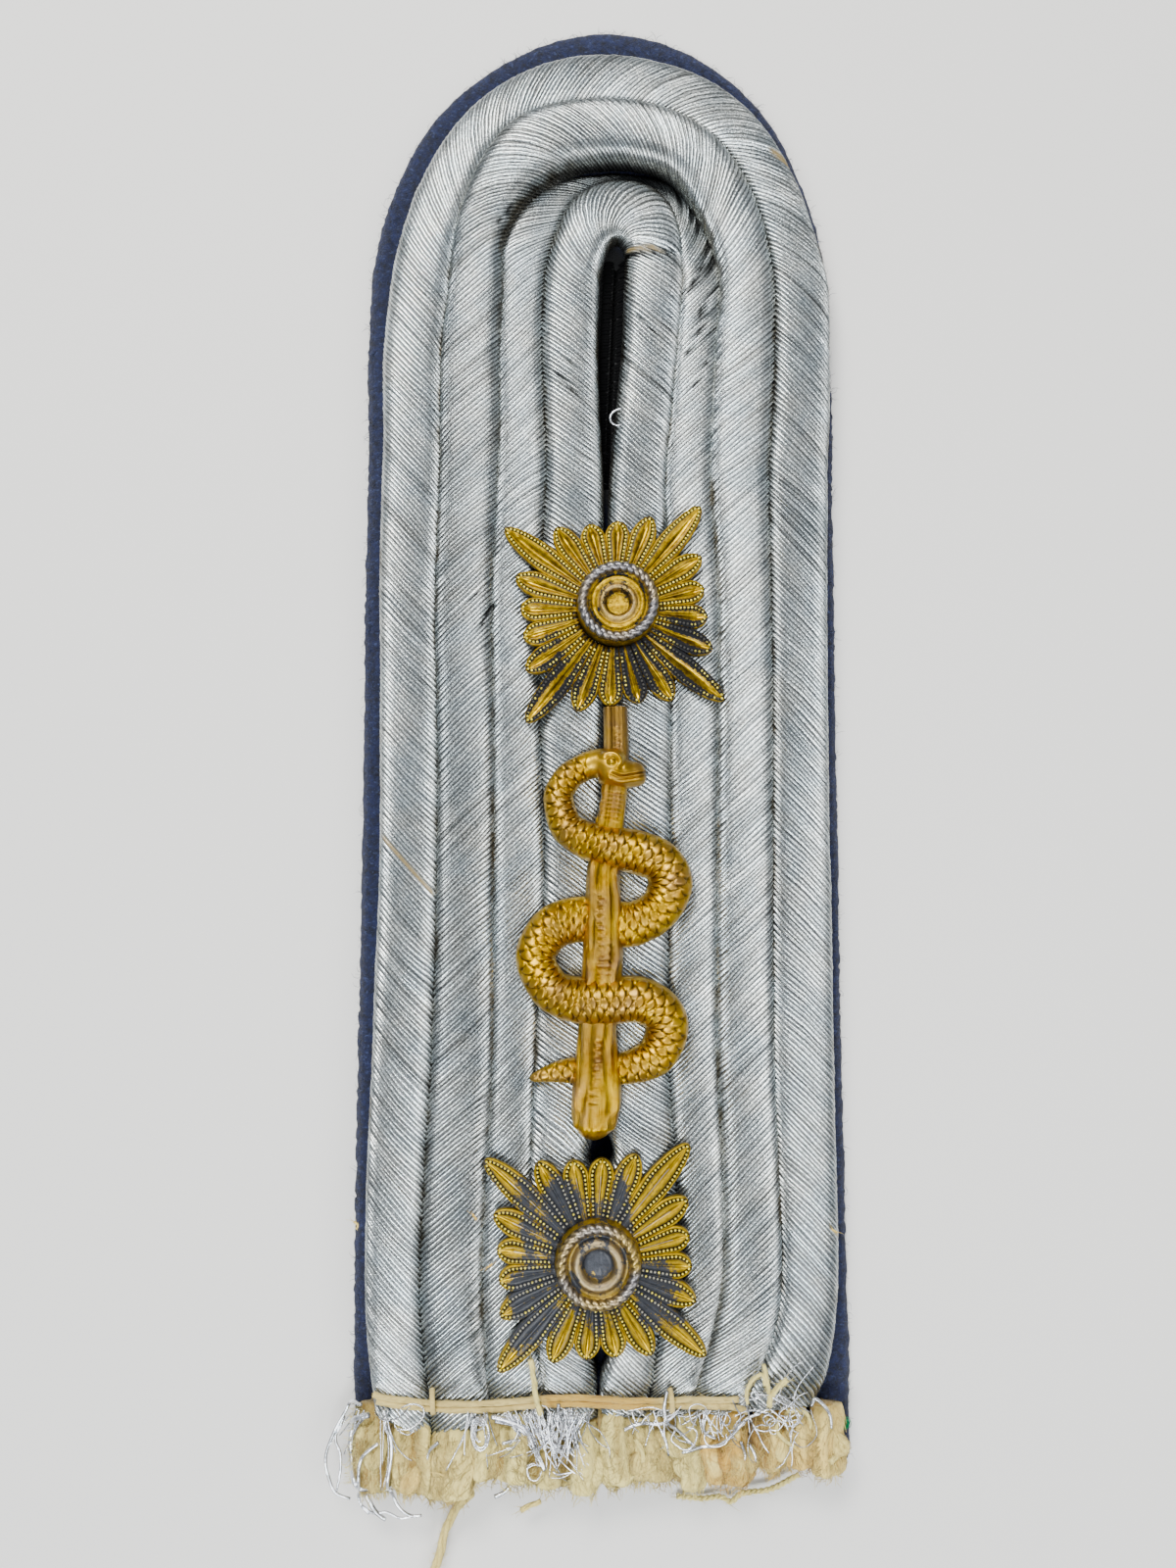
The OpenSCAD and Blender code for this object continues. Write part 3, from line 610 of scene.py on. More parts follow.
def gilt_material(name, gold, deep, patina, dots, patina_metal):
    """Gilding with a sharp-edged patina, a silvery part, painted shade in its recesses, painted highlights on
    its beads and smooth polished troughs.
    """
    f = Finish(name, 1.0, GILT_ROUGH)
    polish = f.value("polish")
    flecks = f.mapped(f.grain(3.4, 5, 0.8), 0.3, 0.7, -0.5, 0.5)
    share = f.mapped(f.calc("ADD", f.value("patina"), flecks), 0.46, 0.54)
    shine = f.mixed(f.mapped(f.grain(2.2, 5), 0.35, 0.65), deep, gold)
    silvered = f.mixed(f.value("silver"), shine, srgb(126, 123, 124))
    # painted highlight: the beads are painted a pale bright gold; painted shade: the recesses are painted
    # dark brown
    bright = f.mixed(f.value("glow"), silvered, srgb(255, 236, 90))
    hollow = f.mixed(f.value("recess"), bright, srgb(20, 12, 0))
    cloudy = f.mixed(f.mapped(f.grain(2.0, 4), 0.3, 0.7), patina, times(patina, 1.7))
    # in the patina the beads take the paler dots colour, a painted highlight, and the recesses near black, a
    # painted shade
    dotted = f.mixed(f.calc("MULTIPLY", f.value("glow"), 0.7), cloudy, dots)
    dotted = f.mixed(f.calc("MULTIPLY", f.value("recess"), 0.7), dotted, srgb(8, 8, 10))
    f.set("Base Color", f.mixed(share, hollow, dotted))
    clean = f.mapped(polish, 0, 1, GILT_ROUGH + 0.16, GILT_ROUGH)
    f.set("Roughness", f.calc("ADD", clean, f.mapped(share, 0, 1, 0.0, 0.12)))
    metal = f.mapped(share, 0, 1, 1.0, patina_metal)
    f.set("Metallic", f.calc("MINIMUM", f.mapped(polish, 0, 1, 0.9, 1.0), metal))
    f.set("Specular IOR Level", f.mapped(share, 0, 1, 0.5, 0.15))
    f.set("Coat Weight", 0.08)
    f.set("Coat Roughness", 0.12)
    f.bumped(f.calc("MULTIPLY", f.grain(6.0, 4), f.mapped(polish, 0, 1, 1.0, 0.1)), 0.09, 0.9)
    return f.made


def brass_material():
    """Golden brass with browner tops, and darkened where shade is painted in its hollows."""
    f = Finish("golden_brass", 1.0, 0.3)
    shine = f.mixed(f.mapped(f.grain(0.9, 5), 0.35, 0.65), srgb(156, 114, 0), srgb(204, 164, 4))
    rub = f.mapped(f.grain(0.45, 5), 0.3, 0.7, -0.45, 0.45)
    worn = f.mapped(f.calc("ADD", f.value("worn"), rub), 0.45, 1.2)
    tone = f.mixed(worn, shine, srgb(146, 112, 62))
    f.set("Base Color", f.mixed(f.value("recess"), tone, srgb(52, 35, 3)))
    f.set("Roughness", f.mapped(f.grain(2.0, 4), 0.3, 0.7, 0.32, 0.46))
    fibres = f.calc("MULTIPLY", f.grain(1.0, 4, 0.7, f.place(7, 0.7, 1)), f.value("bark"))
    f.bumped(f.calc("ADD", f.calc("MULTIPLY", f.grain(4.5, 5), 0.16), fibres), 0.13, 0.9)
    return f.made


def cotton_material(name, light, dark, warm_tone, stretch):
    """Soft fibres: shade runs from the shadowed depths to the pale ends, and warm adds a stained tan."""
    f = Finish(name, 0.0, 0.9)
    fine = f.grain(1.0, 5, 0.75, f.place(*stretch))
    share = f.calc("ADD", f.value("shade"), f.mapped(fine, 0.3, 0.7, -0.3, 0.3))
    tone = f.mixed(f.mapped(share, 0.0, 1.0), dark, light)
    f.set("Base Color", f.mixed(f.value("warm"), tone, f.mixed(1.0, tone, warm_tone, "MULTIPLY")))
    f.set("Sheen Weight", 0.15)
    f.bumped(f.calc("ADD", fine, f.calc("MULTIPLY", f.grain(5.0, 4), 0.3)), 0.2, 0.9)
    return f.made


def plain_material(name, colour, roughness):
    """A finish of one colour with fine uneven grain."""
    f = Finish(name, 0.0, roughness)
    f.set("Specular IOR Level", 0.15)
    f.set("Base Color", f.mixed(f.grain(4.0, 4), times(colour, 0.6), colour))
    f.bumped(f.grain(8.0, 4), 0.05, 0.6)
    return f.made


# Braids

def ends_added(table):
    """The section table with a short worn row beyond each of its ends."""
    rows = []
    for row in (table[0], table[-1]):
        end = row.copy()
        end[Y] -= 3.0
        end[FIRST_HEIGHT:] *= 0.7
        rows.append(end)
    return np.vstack([rows[0], table, rows[1]])


ALL_SECTIONS = ends_added(SECTIONS)
DENSE_STEPS = 1400
DENSE = curve(ALL_SECTIONS, np.linspace(0, len(ALL_SECTIONS) - 1, DENSE_STEPS))
EDGE = {"x": DENSE[:, X], "y": DENSE[:, Y], "turn": np.radians(DENSE[:, TURN])}


def from_edge(at, reach):
    """Places at a distance outward from the sections' inner edge."""
    return at["x"] + reach * np.cos(at["turn"]), at["y"] + reach * np.sin(at["turn"])


def ridge_start(ridge):
    """Distance of a ridge's inner side from its sections' inner edge."""
    return sum((DENSE[:, WIDTH[r]] for r in range(ridge + 1, 5)), np.zeros(len(DENSE)))


def ridge_track(ridge):
    """Distances along a ridge's middle line, and its measures at each."""
    start = ridge_start(ridge)
    wide = DENSE[:, WIDTH[ridge]]
    line = np.stack(from_edge(EDGE, start + wide / 2), -1)
    return travelled(line), {**EDGE, "start": start, "wide": wide, "high": DENSE[:, HEIGHT[ridge]]}


def ridge_profile():
    """Round a cord's section: place across and up as shares, outward normal, and the wrap's lag."""
    turn = np.linspace(0, math.pi, TOP_POINTS)
    power = 2 / ROUND
    across = -np.sign(np.cos(turn)) * np.abs(np.cos(turn)) ** power
    up = np.abs(np.sin(turn)) ** power
    arc = travelled(np.stack([across * NOMINAL_HALF, up * NOMINAL_TOP], -1))
    arc -= arc[-1] / 2
    slope = unit(np.stack([np.sign(across) * np.abs(across) ** (ROUND - 1) / NOMINAL_HALF,
                           up ** (ROUND - 1) / NOMINAL_TOP], -1))
    low = np.linspace(0, math.pi, UNDER_POINTS + 2)[1:-1]
    across_low = np.cos(low)
    lag_low = np.interp(across_low, [-1, 1], [arc[0], arc[-1]])
    return (np.concatenate([across, across_low]), np.concatenate([up, -np.sin(low) ** 0.6]),
            np.concatenate([slope, np.stack([across_low, -np.sin(low)], -1)]),
            np.concatenate([arc, lag_low]))


def threads(seed, slope, lag, length):
    """Four rings to a thread of a cord: distance, how high each stands, how bright and how odd it is."""
    rng = np.random.default_rng(seed)
    pitch = THREAD_PITCH * math.sqrt(1 + slope ** 2)
    reach = slope * lag.max()
    count = int((length + 2 * reach) / pitch)
    steps = pitch * (1 + 0.09 * rng.standard_normal(count).clip(-1.6, 1.6))
    starts = np.cumsum(steps) - reach
    gap = rng.random(count) < 0.035
    valley = -0.15 - 0.04 * rng.random(count) - 0.09 * gap
    crest = 0.02 + 0.014 * rng.standard_normal(count)
    bright = np.clip(0.92 + 0.16 * rng.standard_normal(count), 0.5, 1.15)
    rings = starts[:, None] + steps[:, None] * THREAD_RINGS
    relief = np.stack([valley, crest - 0.03, crest, crest - 0.03], -1)
    # painted shade: each thread is dark in the valley before it, darker still at a gap, and darker on its
    # sides than on its crest; bright differs at random from thread to thread
    shade = np.stack([0.05 - 0.04 * gap, 0.62 * bright, bright, 0.66 * bright], -1)
    odd = np.repeat(rng.random(count) < 0.05, 4)
    return rings.reshape(-1, 1), relief.reshape(-1, 1), shade.reshape(-1, 1), odd[:, None]


def sleeve_ends(ridge, across, lag, seed, length):
    """Distances along a ridge at which its silver begins and ends, at each place across."""
    left_inner, left_outer, right_inner, right_outer = SLEEVE_ENDS[ridge]
    outward = 0.5 + 0.5 * across
    ragged = 0.22 * drift(seed + 3, lag * 2.2)
    left = left_inner + (left_outer - left_inner) * outward + ragged
    right = right_inner + (right_outer - right_inner) * outward + ragged[::-1]
    return left - DENSE[0, Y], length - (right - DENSE[-1, Y])


def on_lines(x, y, table):
    """How much each place lies on one of a table's short lines, from 0 to 1."""
    total = np.zeros(x.shape)
    for x0, y0, x1, y1, wide in table:
        dx, dy = x1 - x0, y1 - y0
        along = np.clip(((x - x0) * dx + (y - y0) * dy) / (dx * dx + dy * dy), 0, 1)
        away = np.hypot(x - x0 - along * dx, y - y0 - along * dy)
        total = np.maximum(total, 1 - ramp(away, 0.6 * wide, 1.5 * wide))
    return total


def pinched_gap(y):
    """How far the inner braid's side is held back from the middle."""
    return 0.16 + sum(wide * bell(y - at, half) for at, half, wide in PARTINGS)


def arch_shadow(ridge, across, up):
    """How dark the painted shadow at the arch makes each part of a ridge's section, below the higher ridge
    beside it.
    """
    if ridge == 2:
        return 0.96 * (across < 0) * (1 - ramp(up, 0.1, 0.35))
    return {1: 0.0, 3: 0.9, 4: 0.6 * ramp(across, 0.9, 1.0)}[ridge]


def braid_ridge(name, ridge, slope, direction, seed, node):
    """One cord, wrapped in silver thread, as a tube whose rings follow the threads."""
    walked, track = ridge_track(ridge)
    across, up, normal, lag = ridge_profile()
    rings, relief, shade, odd = threads(seed, slope, lag, walked[-1])
    wander = 0.22 * noise(seed, rings / 3.1, lag / 2.5)
    s = np.clip(rings + direction * slope * lag + wander, *sleeve_ends(ridge, across, lag, seed, walked[-1]))
    at = {key: np.interp(s, walked, v) for key, v in track.items()}

    crowding = np.where(across < 0, *CROWDING[ridge])
    part = pinched_gap(at["y"]) if ridge == 4 else 0.0
    half = at["wide"] / 2 + crowding - part / 2
    reach = at["start"] + at["wide"] / 2 + part / 2 + across * half
    flat = from_edge(at, reach)
    arch = bell(np.degrees(at["turn"]) - 86, 42, 4) * (at["y"] > 30)

    near = np.abs(across) * half / (half - crowding + 0.05)
    side = ramp(near, 0.86, 1.0)
    if ridge in (2, 3):
        side = side * (across * (1 if ridge == 2 else -1) > 0)
    pointed = side * np.tile([1.0, 0.8, 0.0, 0.8], len(rings) // 4)[:, None]
    fan = (ridge == 3) * (at["turn"] < 1.0) * ramp(at["y"], 33, 38) * ramp(across, -0.2, 0.5)
    parted = fan * ramp(noise(seed + 20, rings / 0.5, lag / 5), 0.12, 0.4)
    slot = on_lines(*flat, SLOTS)

    swell = noise(seed + 5, s / 7.0, across * 0.7) * 0.05 + noise(seed + 6, s / 1.9, lag / 2.8) * 0.018
    depth = relief + swell - 0.07 * pointed - 0.2 * parted - 0.14 * slot
    high = at["high"] * (1 - 0.13 * bell(at["y"] - STITCH_Y, 0.8))
    top = high * (1 - BODY_SHARE)
    base = high * BODY_SHARE
    z = BRAID_FLOOR + base + np.where(up > 0, up * top, up * base) + normal[:, 1] * depth
    x, y = from_edge(at, reach + normal[:, 0] * depth)

    groove = ramp(near + 0.10 * noise(seed + 8, s / 1.3, across * 2), 0.92, 1.04)
    patchy = 0.5 + 0.5 * noise(seed + 9, s / 9.0, across * 1.3)
    tarnish = np.clip(groove * (0.35 + 0.65 * patchy) + 0.2 * odd + 0.22 * ramp(patchy, 0.62, 1.0), 0, 1)
    # painted glints: brighter and darker dashes along the threads
    dashes = 1 + 0.14 * noise(seed + 11, s / 1.2, lag / 0.9)
    # painted light and shade: each side of a ridge is painted brighter or darker as the light falls on its
    # threads, and ridges other than the second a little darker at the arch
    on_right, on_left = PAINTED_SIDE_LIGHT[ridge]
    side_light = on_right + (on_left - on_right) * ramp(at["turn"], 0.7, 2.4)
    side_light = side_light * (1 - 0.1 * arch * (ridge != 2))
    # painted shade: darker at the pointed thread ends beside a groove, in the gaps of parted threads, in the
    # slots, and below the higher ridge at the arch
    dark = np.maximum(np.maximum(0.5 * pointed, 0.9 * parted),
                      np.maximum(0.95 * slot, arch * arch_shadow(ridge, across, up)))
    tone = np.clip(np.clip(shade * dashes * side_light, 0.03, 1.0) * (1 - dark), 0.0, 1.0)

    shape = Shape("shade", "tarnish", "stain")
    shape.add(np.stack([x, y, np.maximum(z, BRAID_FLOOR)], -1), tube(*s.shape),
              shade=tone, tarnish=tarnish, stain=on_lines(*flat, STAINS))
    shape.make(name, SILVER, "silver_thread", node, weld=True)


def braids():
    """The four cords: name, ridge, slope and direction of the threads, seed and node."""
    braid_ridge("outer_braid_edge_cord", 1, 1.1, 1, 11, "outer_braid")
    braid_ridge("outer_braid_inner_cord", 2, 0.98, -1, 22, "outer_braid")
    braid_ridge("inner_braid_outer_cord", 3, 0.86, -1, 33, "inner_braid")
    braid_ridge("inner_braid_slit_cord", 4, 0.8, 1, 44, "inner_braid")


# Wool

def wool_outline():
    """Corners of the underlay, clockwise from the lower left, and the way outward at each."""
    edge = np.stack(from_edge(EDGE, ridge_start(0) + DENSE[:, BARE]), -1)
    edge = edge[edge[:, 1] > SECTIONS[0, Y]]
    half = WOOL_END_WIDE / 2
    corner = np.array([[-half, -WOOL_END]])
    line = np.vstack([corner, edge, corner * [-1, 1]])
    walked = travelled(line)
    line = at_distances(line, walked, np.linspace(0, walked[-1], 900))
    cut = np.linspace(half, -half, 110)[1:-1]
    line = np.vstack([line, np.stack([cut, np.full(len(cut), -WOOL_END)], -1)])
    along = unit(np.roll(line, -1, 0) - np.roll(line, 1, 0))
    outward = np.stack([-along[:, 1], along[:, 0]], -1)
    walked = travelled(line)
    x, y = line.T
    rough = 0.05 * noise(60, walked / 0.55) + 0.06 * noise(62, walked / 1.7) + 0.16 * noise(61, walked / 5.0)
    rough += 0.4 * ramp(y, 30, 50) * ramp(8 - x, -4, 8) + 0.6 * ramp(-x, 10, 18)
    rough += 0.35 * ramp(x, 10, 18) * (1 - ramp(y, 20, 45))
    return line + outward * rough[:, None], outward


def slit_outline():
    """Corners of the cut in the wool."""
    ys = np.linspace(-SLIT_LENGTH / 2, SLIT_LENGTH / 2, 60)
    ring = np.vstack([np.stack([np.full(60, SLIT_HALF), ys], -1),
                      np.stack([np.full(60, -SLIT_HALF), ys[::-1]], -1)])
    return ring @ spin(SLIT_TURN) + SLIT_MIDDLE


def flat_wool(rim, outward):
    """Points and triangles that fill the outline round the slit, dense at the rim and at the prongs."""
    slit = slit_outline()
    rings = [rim - outward * inset for inset in (0.35, 0.7, 1.1)]
    rings += [(rim - outward * inset)[::2] for inset in (1.6, 2.2, 3.0, 4.0)]
    rng = np.random.default_rng(70)
    field = lattice((-17, 18), (-62, 56), 1.6)
    field = field + rng.uniform(-0.4, 0.4, field.shape)
    from_arch = np.linalg.norm(field - [0.7, 45.0], axis=1)
    keep = np.where(field[:, 1] > 45, from_arch, np.abs(field[:, 0])) < 16.5
    feet = [lattice((-0.8, 3.4), (-1.2, 1.3), 0.28) + p for p in ALL_PRONGS]
    points = np.vstack([rim, slit] + rings + [field[keep]] + feet)
    n, m = len(rim), len(slit)
    loops = [list(range(n))[::-1], list(range(n, n + m))]
    verts, _, faces, *_ = delaunay_2d_cdt([tuple(p) for p in points], [], loops, 1, 1e-5)
    flat = np.array([tuple(v) for v in verts])
    tris = np.array([f for f in faces if len(f) == 3])
    local = (flat[tris].mean(1) - SLIT_MIDDLE) @ spin(-SLIT_TURN)
    tris = tris[~((np.abs(local[:, 0]) < SLIT_HALF) & (np.abs(local[:, 1]) < SLIT_LENGTH / 2))]
    cross = np.cross(flat[tris[:, 1]] - flat[tris[:, 0]], flat[tris[:, 2]] - flat[tris[:, 0]])
    return flat, np.where(cross[:, None] > 0, tris, tris[:, ::-1])


def wool_rows(flat, rim, outward, border):
    """The cloth's points from its top down to its back, where the cut edge bulges a little outward."""
    x, y = flat.T
    from_rim = np.min([np.linalg.norm(flat - p, axis=1) for p in rim], axis=0)
    lumps = 0.07 * noise(71, x / 0.8, y / 0.8) + 0.05 * noise(72, x / 0.35, y / 0.35)
    puff = 0.16 * bell(from_rim - 0.9, 0.7) - 0.3 * bell(from_rim, 0.25)
    height = WOOL_THICK - 0.1 + lumps + puff * (from_rim > 0.02) - 0.3 * (from_rim <= 0.02)
    top = np.column_stack([flat, np.minimum(height, WOOL_THICK + 0.12)])
    dent = np.zeros(len(flat))
    for px, py in ALL_PRONGS:
        off = np.maximum(np.abs(x - px - PRONG_FOOT / 2 + 0.05) - PRONG_FOOT / 2,
                         np.abs(y - py) - PRONG_WIDE / 2)
        dent = np.maximum(dent, 0.5 * (1 - ramp(off, 0.02, 0.5)))
    low = np.column_stack([flat, 0.03 + 0.03 * noise(73, x / 0.7, y / 0.7) + dent])
    low[:, 2] = np.maximum(low[:, 2], 0.0) + 0.14 * bell(from_rim, 0.3)
    push = np.zeros_like(flat)
    lookup = {tuple(np.round(p, 4)): o for p, o in zip(rim, outward)}
    for i in np.unique(border):
        push[i] = lookup.get(tuple(np.round(flat[i], 4)), (0, 0))
    rows = [top]
    for share, bulge in [(0.72, 0.12), (0.5, 0.2), (0.28, 0.12)]:
        ring = top * share + low * (1 - share)
        rough = bulge + 0.10 * noise(75, x / 0.5, y / 0.5, np.full(len(flat), share * 9))
        ring[:, :2] += push * rough[:, None]
        rows.append(ring)
    return rows + [low]


def wool():
    """The navy underlay, with its buttonhole and dents for the prongs' feet."""
    rim, outward = wool_outline()
    flat, tris = flat_wool(rim, outward)
    directed = np.concatenate([tris[:, [0, 1]], tris[:, [1, 2]], tris[:, [2, 0]]])
    _, back, counts = np.unique(np.sort(directed, axis=1), axis=0, return_inverse=True, return_counts=True)
    border = directed[counts[back.ravel()] == 1]
    rows = wool_rows(flat, rim, outward, border)
    # painted shade: the wool near the slit is darkened towards black, for the deep shade in the slit
    at_slit = (flat - SLIT_MIDDLE) @ spin(SLIT_TURN)
    dark = 1 - ramp(np.hypot(at_slit[:, 0], np.maximum(np.abs(at_slit[:, 1]) - SLIT_LENGTH / 2, 0)), 2.2, 3.4)
    k = len(flat)
    faces = [tris, tris[:, ::-1] + (len(rows) - 1) * k]
    for level in range(len(rows) - 1):
        a, b = (border + level * k).T
        faces.append(np.stack([b, a, a + k, b + k], -1))
    shape = Shape("light", "dark")
    shape.add(np.vstack(rows), faces, light=0.0, dark=np.tile(dark, len(rows)))
    piece = without_loose_points(shape).make("wool_cloth", WOOL, "wool", "wool_underlay")
    return rim, outward


def without_loose_points(shape):
    """The same shape, without the points that no face uses."""
    points = np.concatenate(shape.points)
    used = np.unique(np.concatenate([np.ravel(f) for f in shape.faces]))
    new = np.full(len(points), -1)
    new[used] = np.arange(len(used))
    tidy = Shape(*shape.values)
    tidy.add(points[used], [new[f] for f in shape.faces],
             **{key: np.concatenate(v)[used] for key, v in shape.values.items()})
    return tidy


def wool_fuzz(rim, outward):
    """Short loose fibres on the rim of the cloth and on its bare band."""
    rng = np.random.default_rng(80)
    count = FUZZ_COUNT
    which = rng.integers(0, len(rim), count)
    inset = rng.beta(0.7, 2.2, count) * 3.2
    root = rim[which] - outward[which] * inset[:, None] + rng.normal(0, 0.1, (count, 2))
    height = np.where(inset < 0.25, rng.uniform(0.2, 1.4, count), WOOL_THICK - 0.05)
    heading = np.arctan2(outward[which, 1], outward[which, 0]) + rng.normal(0, 1.2, count)
    size = rng.uniform(0.35, 1.0, count)
    bend = rng.normal(0, 1.3, count)
    t = np.linspace(0, 1, 4)
    turn = heading[:, None] + bend[:, None] * t
    reach = size[:, None] * t
    lift = np.where(inset < 0.25, 0.05, 0.16)[:, None] * np.sin(t * 2.6) * rng.uniform(0.2, 1.2, (count, 1))
    paths = np.stack([root[:, :1] + reach * np.cos(turn), root[:, 1:] + reach * np.sin(turn),
                      np.maximum(height[:, None] + lift, 0.06)], -1)
    shape = Shape("light")
    strands(shape, paths, np.array([0.018, 0.02, 0.016, 0.006]), light=rng.uniform(0, 0.9, (count, 1)) ** 2)
    shape.make("wool_fuzz", WOOL, "wool")


# Pips

def bulged(r, start, end, bulge, close):
    """Share that closes a petal's width between two distances from the pip's middle."""
    return (1 - np.clip((r - start) / (end - start), 0, 1) ** bulge) ** close


def petal_half_width(r, tip, valley, corner):
    """Half width of a petal at a distance from the pip's middle."""
    bulge, close = (2.2, 0.5) if corner else (1.9, 0.54)
    return np.minimum(r, valley) * (math.tan(math.pi / PETALS) * 1.02) * bulged(r, valley, tip, bulge, close)


def bead_half_width(r, tip, valley, corner):
    """Half width of a petal's line of beads at a distance from the pip's middle."""
    widest = np.interp(r, [3.7, 8.6], [0.4, 0.9]) if corner else np.interp(r, [3.7, 7.0], [0.4, 0.78])
    return widest * bulged(r, valley, tip - BEAD_INSET, 1.9, 0.56)


def bead_line(tip, valley, corner):
    """Line of beads round a petal, from one side's foot over its tip to the other's."""
    last = tip - BEAD_INSET
    r = last - (last - 3.72) * np.linspace(0, 1, 200) ** 1.8
    half = np.stack([r, bead_half_width(r, tip, valley, corner)], -1)
    return np.vstack([half[::-1], half * [1, -1]])


def pip_height_at(r):
    """Height of the stamped sheet above the pip's back."""
    return np.interp(r, [3.6, 4.2, 6.5, 9.0, 12.9], [1.62, 1.42, 1.05, 0.78, 0.58])


def dome(sides=6, rows=2):
    """Points and faces of a small closed dome of radius 1, from its base up."""
    levels = np.linspace(-0.35, math.pi / 2, rows + 1)[:-1]
    turn = np.arange(sides) * 2 * math.pi / sides
    rings = [np.column_stack([math.cos(v) * np.cos(turn), math.cos(v) * np.sin(turn),
                              np.full(sides, math.sin(v))]) for v in levels]
    top = rows * sides
    last = (rows - 1) * sides
    cap = np.array([[last + i, last + (i + 1) % sides, top] for i in range(sides)])
    return np.vstack(rings + [[[0, 0, 1]]]), [grid(rows, sides, True), cap, np.arange(sides)[None, ::-1]]


def copies(points, faces, places, size):
    """Many copies of one small shape."""
    spread = points[None] * size + places[:, None]
    step = np.arange(len(places))[:, None, None] * len(points)
    return spread.reshape(-1, 3), [(f[None] + step).reshape(-1, f.shape[1]) for f in faces]


def lathe(profile, steps, twist=None):
    """Closed skin of a profile of radius and height, turned about the middle."""
    turn = np.arange(steps) * 2 * math.pi / steps
    r = np.repeat(profile[:, :1], steps, 1)
    z = np.repeat(profile[:, 1:2], steps, 1)
    if twist is not None:
        r, z = twist(r, z, turn[None])
    return np.stack([r * np.cos(turn), r * np.sin(turn), z], -1)


def shell(rows, columns):
    """Faces of a closed shell: a grid below, the same grid above, and the wall between their rims."""
    total = rows * columns
    sheet = grid(rows, columns)
    rim = np.concatenate([np.arange(rows) * columns, (rows - 1) * columns + np.arange(1, columns),
                          np.arange(rows - 2, -1, -1) * columns + columns - 1, np.arange(columns - 2, 0, -1)])
    after = np.roll(rim, -1)
    wall = np.stack([rim, after, after + total, rim + total], -1)
    return [sheet[:, ::-1], sheet + total, wall[:, ::-1]]


def mirrored(sides, middle):
    """Values across a whole petal from those of one half and of its middle."""
    return sides + [middle] + sides[::-1]


def petal(shape, look, tip, valley, corner, turned):
    """One stamped petal, a closed shell whose side edges meet its neighbours'."""
    r = PETAL_START + (tip - PETAL_START) * (1 - (1 - np.linspace(0, 1, 33)) ** 1.7)
    share = (r - PETAL_START) / (tip - PETAL_START)
    half = petal_half_width(r, tip, valley, corner)
    small = np.minimum(1, half / 0.6)
    row = np.maximum(bead_half_width(r, tip, valley, corner), 0.3 * half)
    outer = np.minimum(row + 0.15, row + 0.6 * (half - row))
    inner = row - 0.15 * np.minimum(1, row / 0.4)
    wide = look["corner_trough"] if corner else look["trough"]
    trough = inner * np.interp(share, [0.1, 0.5, 0.75], [0.45, wide - 0.1, wide])
    deep = look["deep"] * (0.5 + 0.5 * ramp(share, 0.1, 0.6)) * ramp(1 - share, 0.03, 0.2) * small
    rim = half - 0.07 * small
    places = [half, rim, np.minimum(outer, rim - 0.02 * small), row, inner, trough, 0.5 * trough]
    side = np.stack([-p for p in places] + [0 * half] + places[::-1], -1)
    lifts = mirrored([-0.34, -0.03, -0.02, -0.12 * small, -0.03, -0.02, -0.7 * deep], -deep)
    lift = np.stack([q + 0 * half for q in lifts], -1)
    lift[-1] -= 0.2
    zone = np.array(mirrored([0.3, 0.5, 1.0, 1.0, 1.0, 0.6, 0.0], 0.0)) + 0 * side
    column = np.arange(side.shape[1])
    # painted shade: darker at the petal's rim, round its beads, along the inner part of its crease and where
    # neighbouring petals touch
    crease_line = 0.95 * (1 - ramp(share, 0.55, 0.85))[:, None] * (column == len(places))
    recess = np.array(mirrored([0.6, 0.05, 0.9, 1.0, 1.0, 0.25, 0.4], 0.0)) + crease_line
    touching = 0.9 * (1 - ramp(r, 0.8 * valley, 1.02 * valley))[:, None]
    recess = np.maximum(recess, touching * np.isin(column, (0, column[-1])))
    top = np.stack([np.repeat(r[:, None], side.shape[1], 1), side, pip_height_at(r)[:, None] + lift], -1)
    low = top.copy()
    low[..., 2] = np.minimum(np.maximum(top[..., 2] - 0.42, 0.0), top[..., 2] - 0.12)
    points = np.concatenate([top.reshape(-1, 3), low.reshape(-1, 3)])
    points[:, :2] = points[:, :2] @ turned
    zone = np.tile(zone.ravel(), 2)
    recess = np.tile(recess.ravel(), 2)
    # in the lower pip the inner crease of the upper petals is painted silver-grey in place of its painted
    # shade, a painted highlight along it
    crease = look["crease"] * ramp(points[:, 1], -2, 1) * (recess > 0.5) * (zone < 0.1)
    near = np.hypot(points[:, 0], points[:, 1])
    shape.add(points, shell(*side.shape), patina=look["patina"](points, near / tip, zone),
              polish=1.0 * (zone < 0.3), silver=crease, recess=recess - crease)


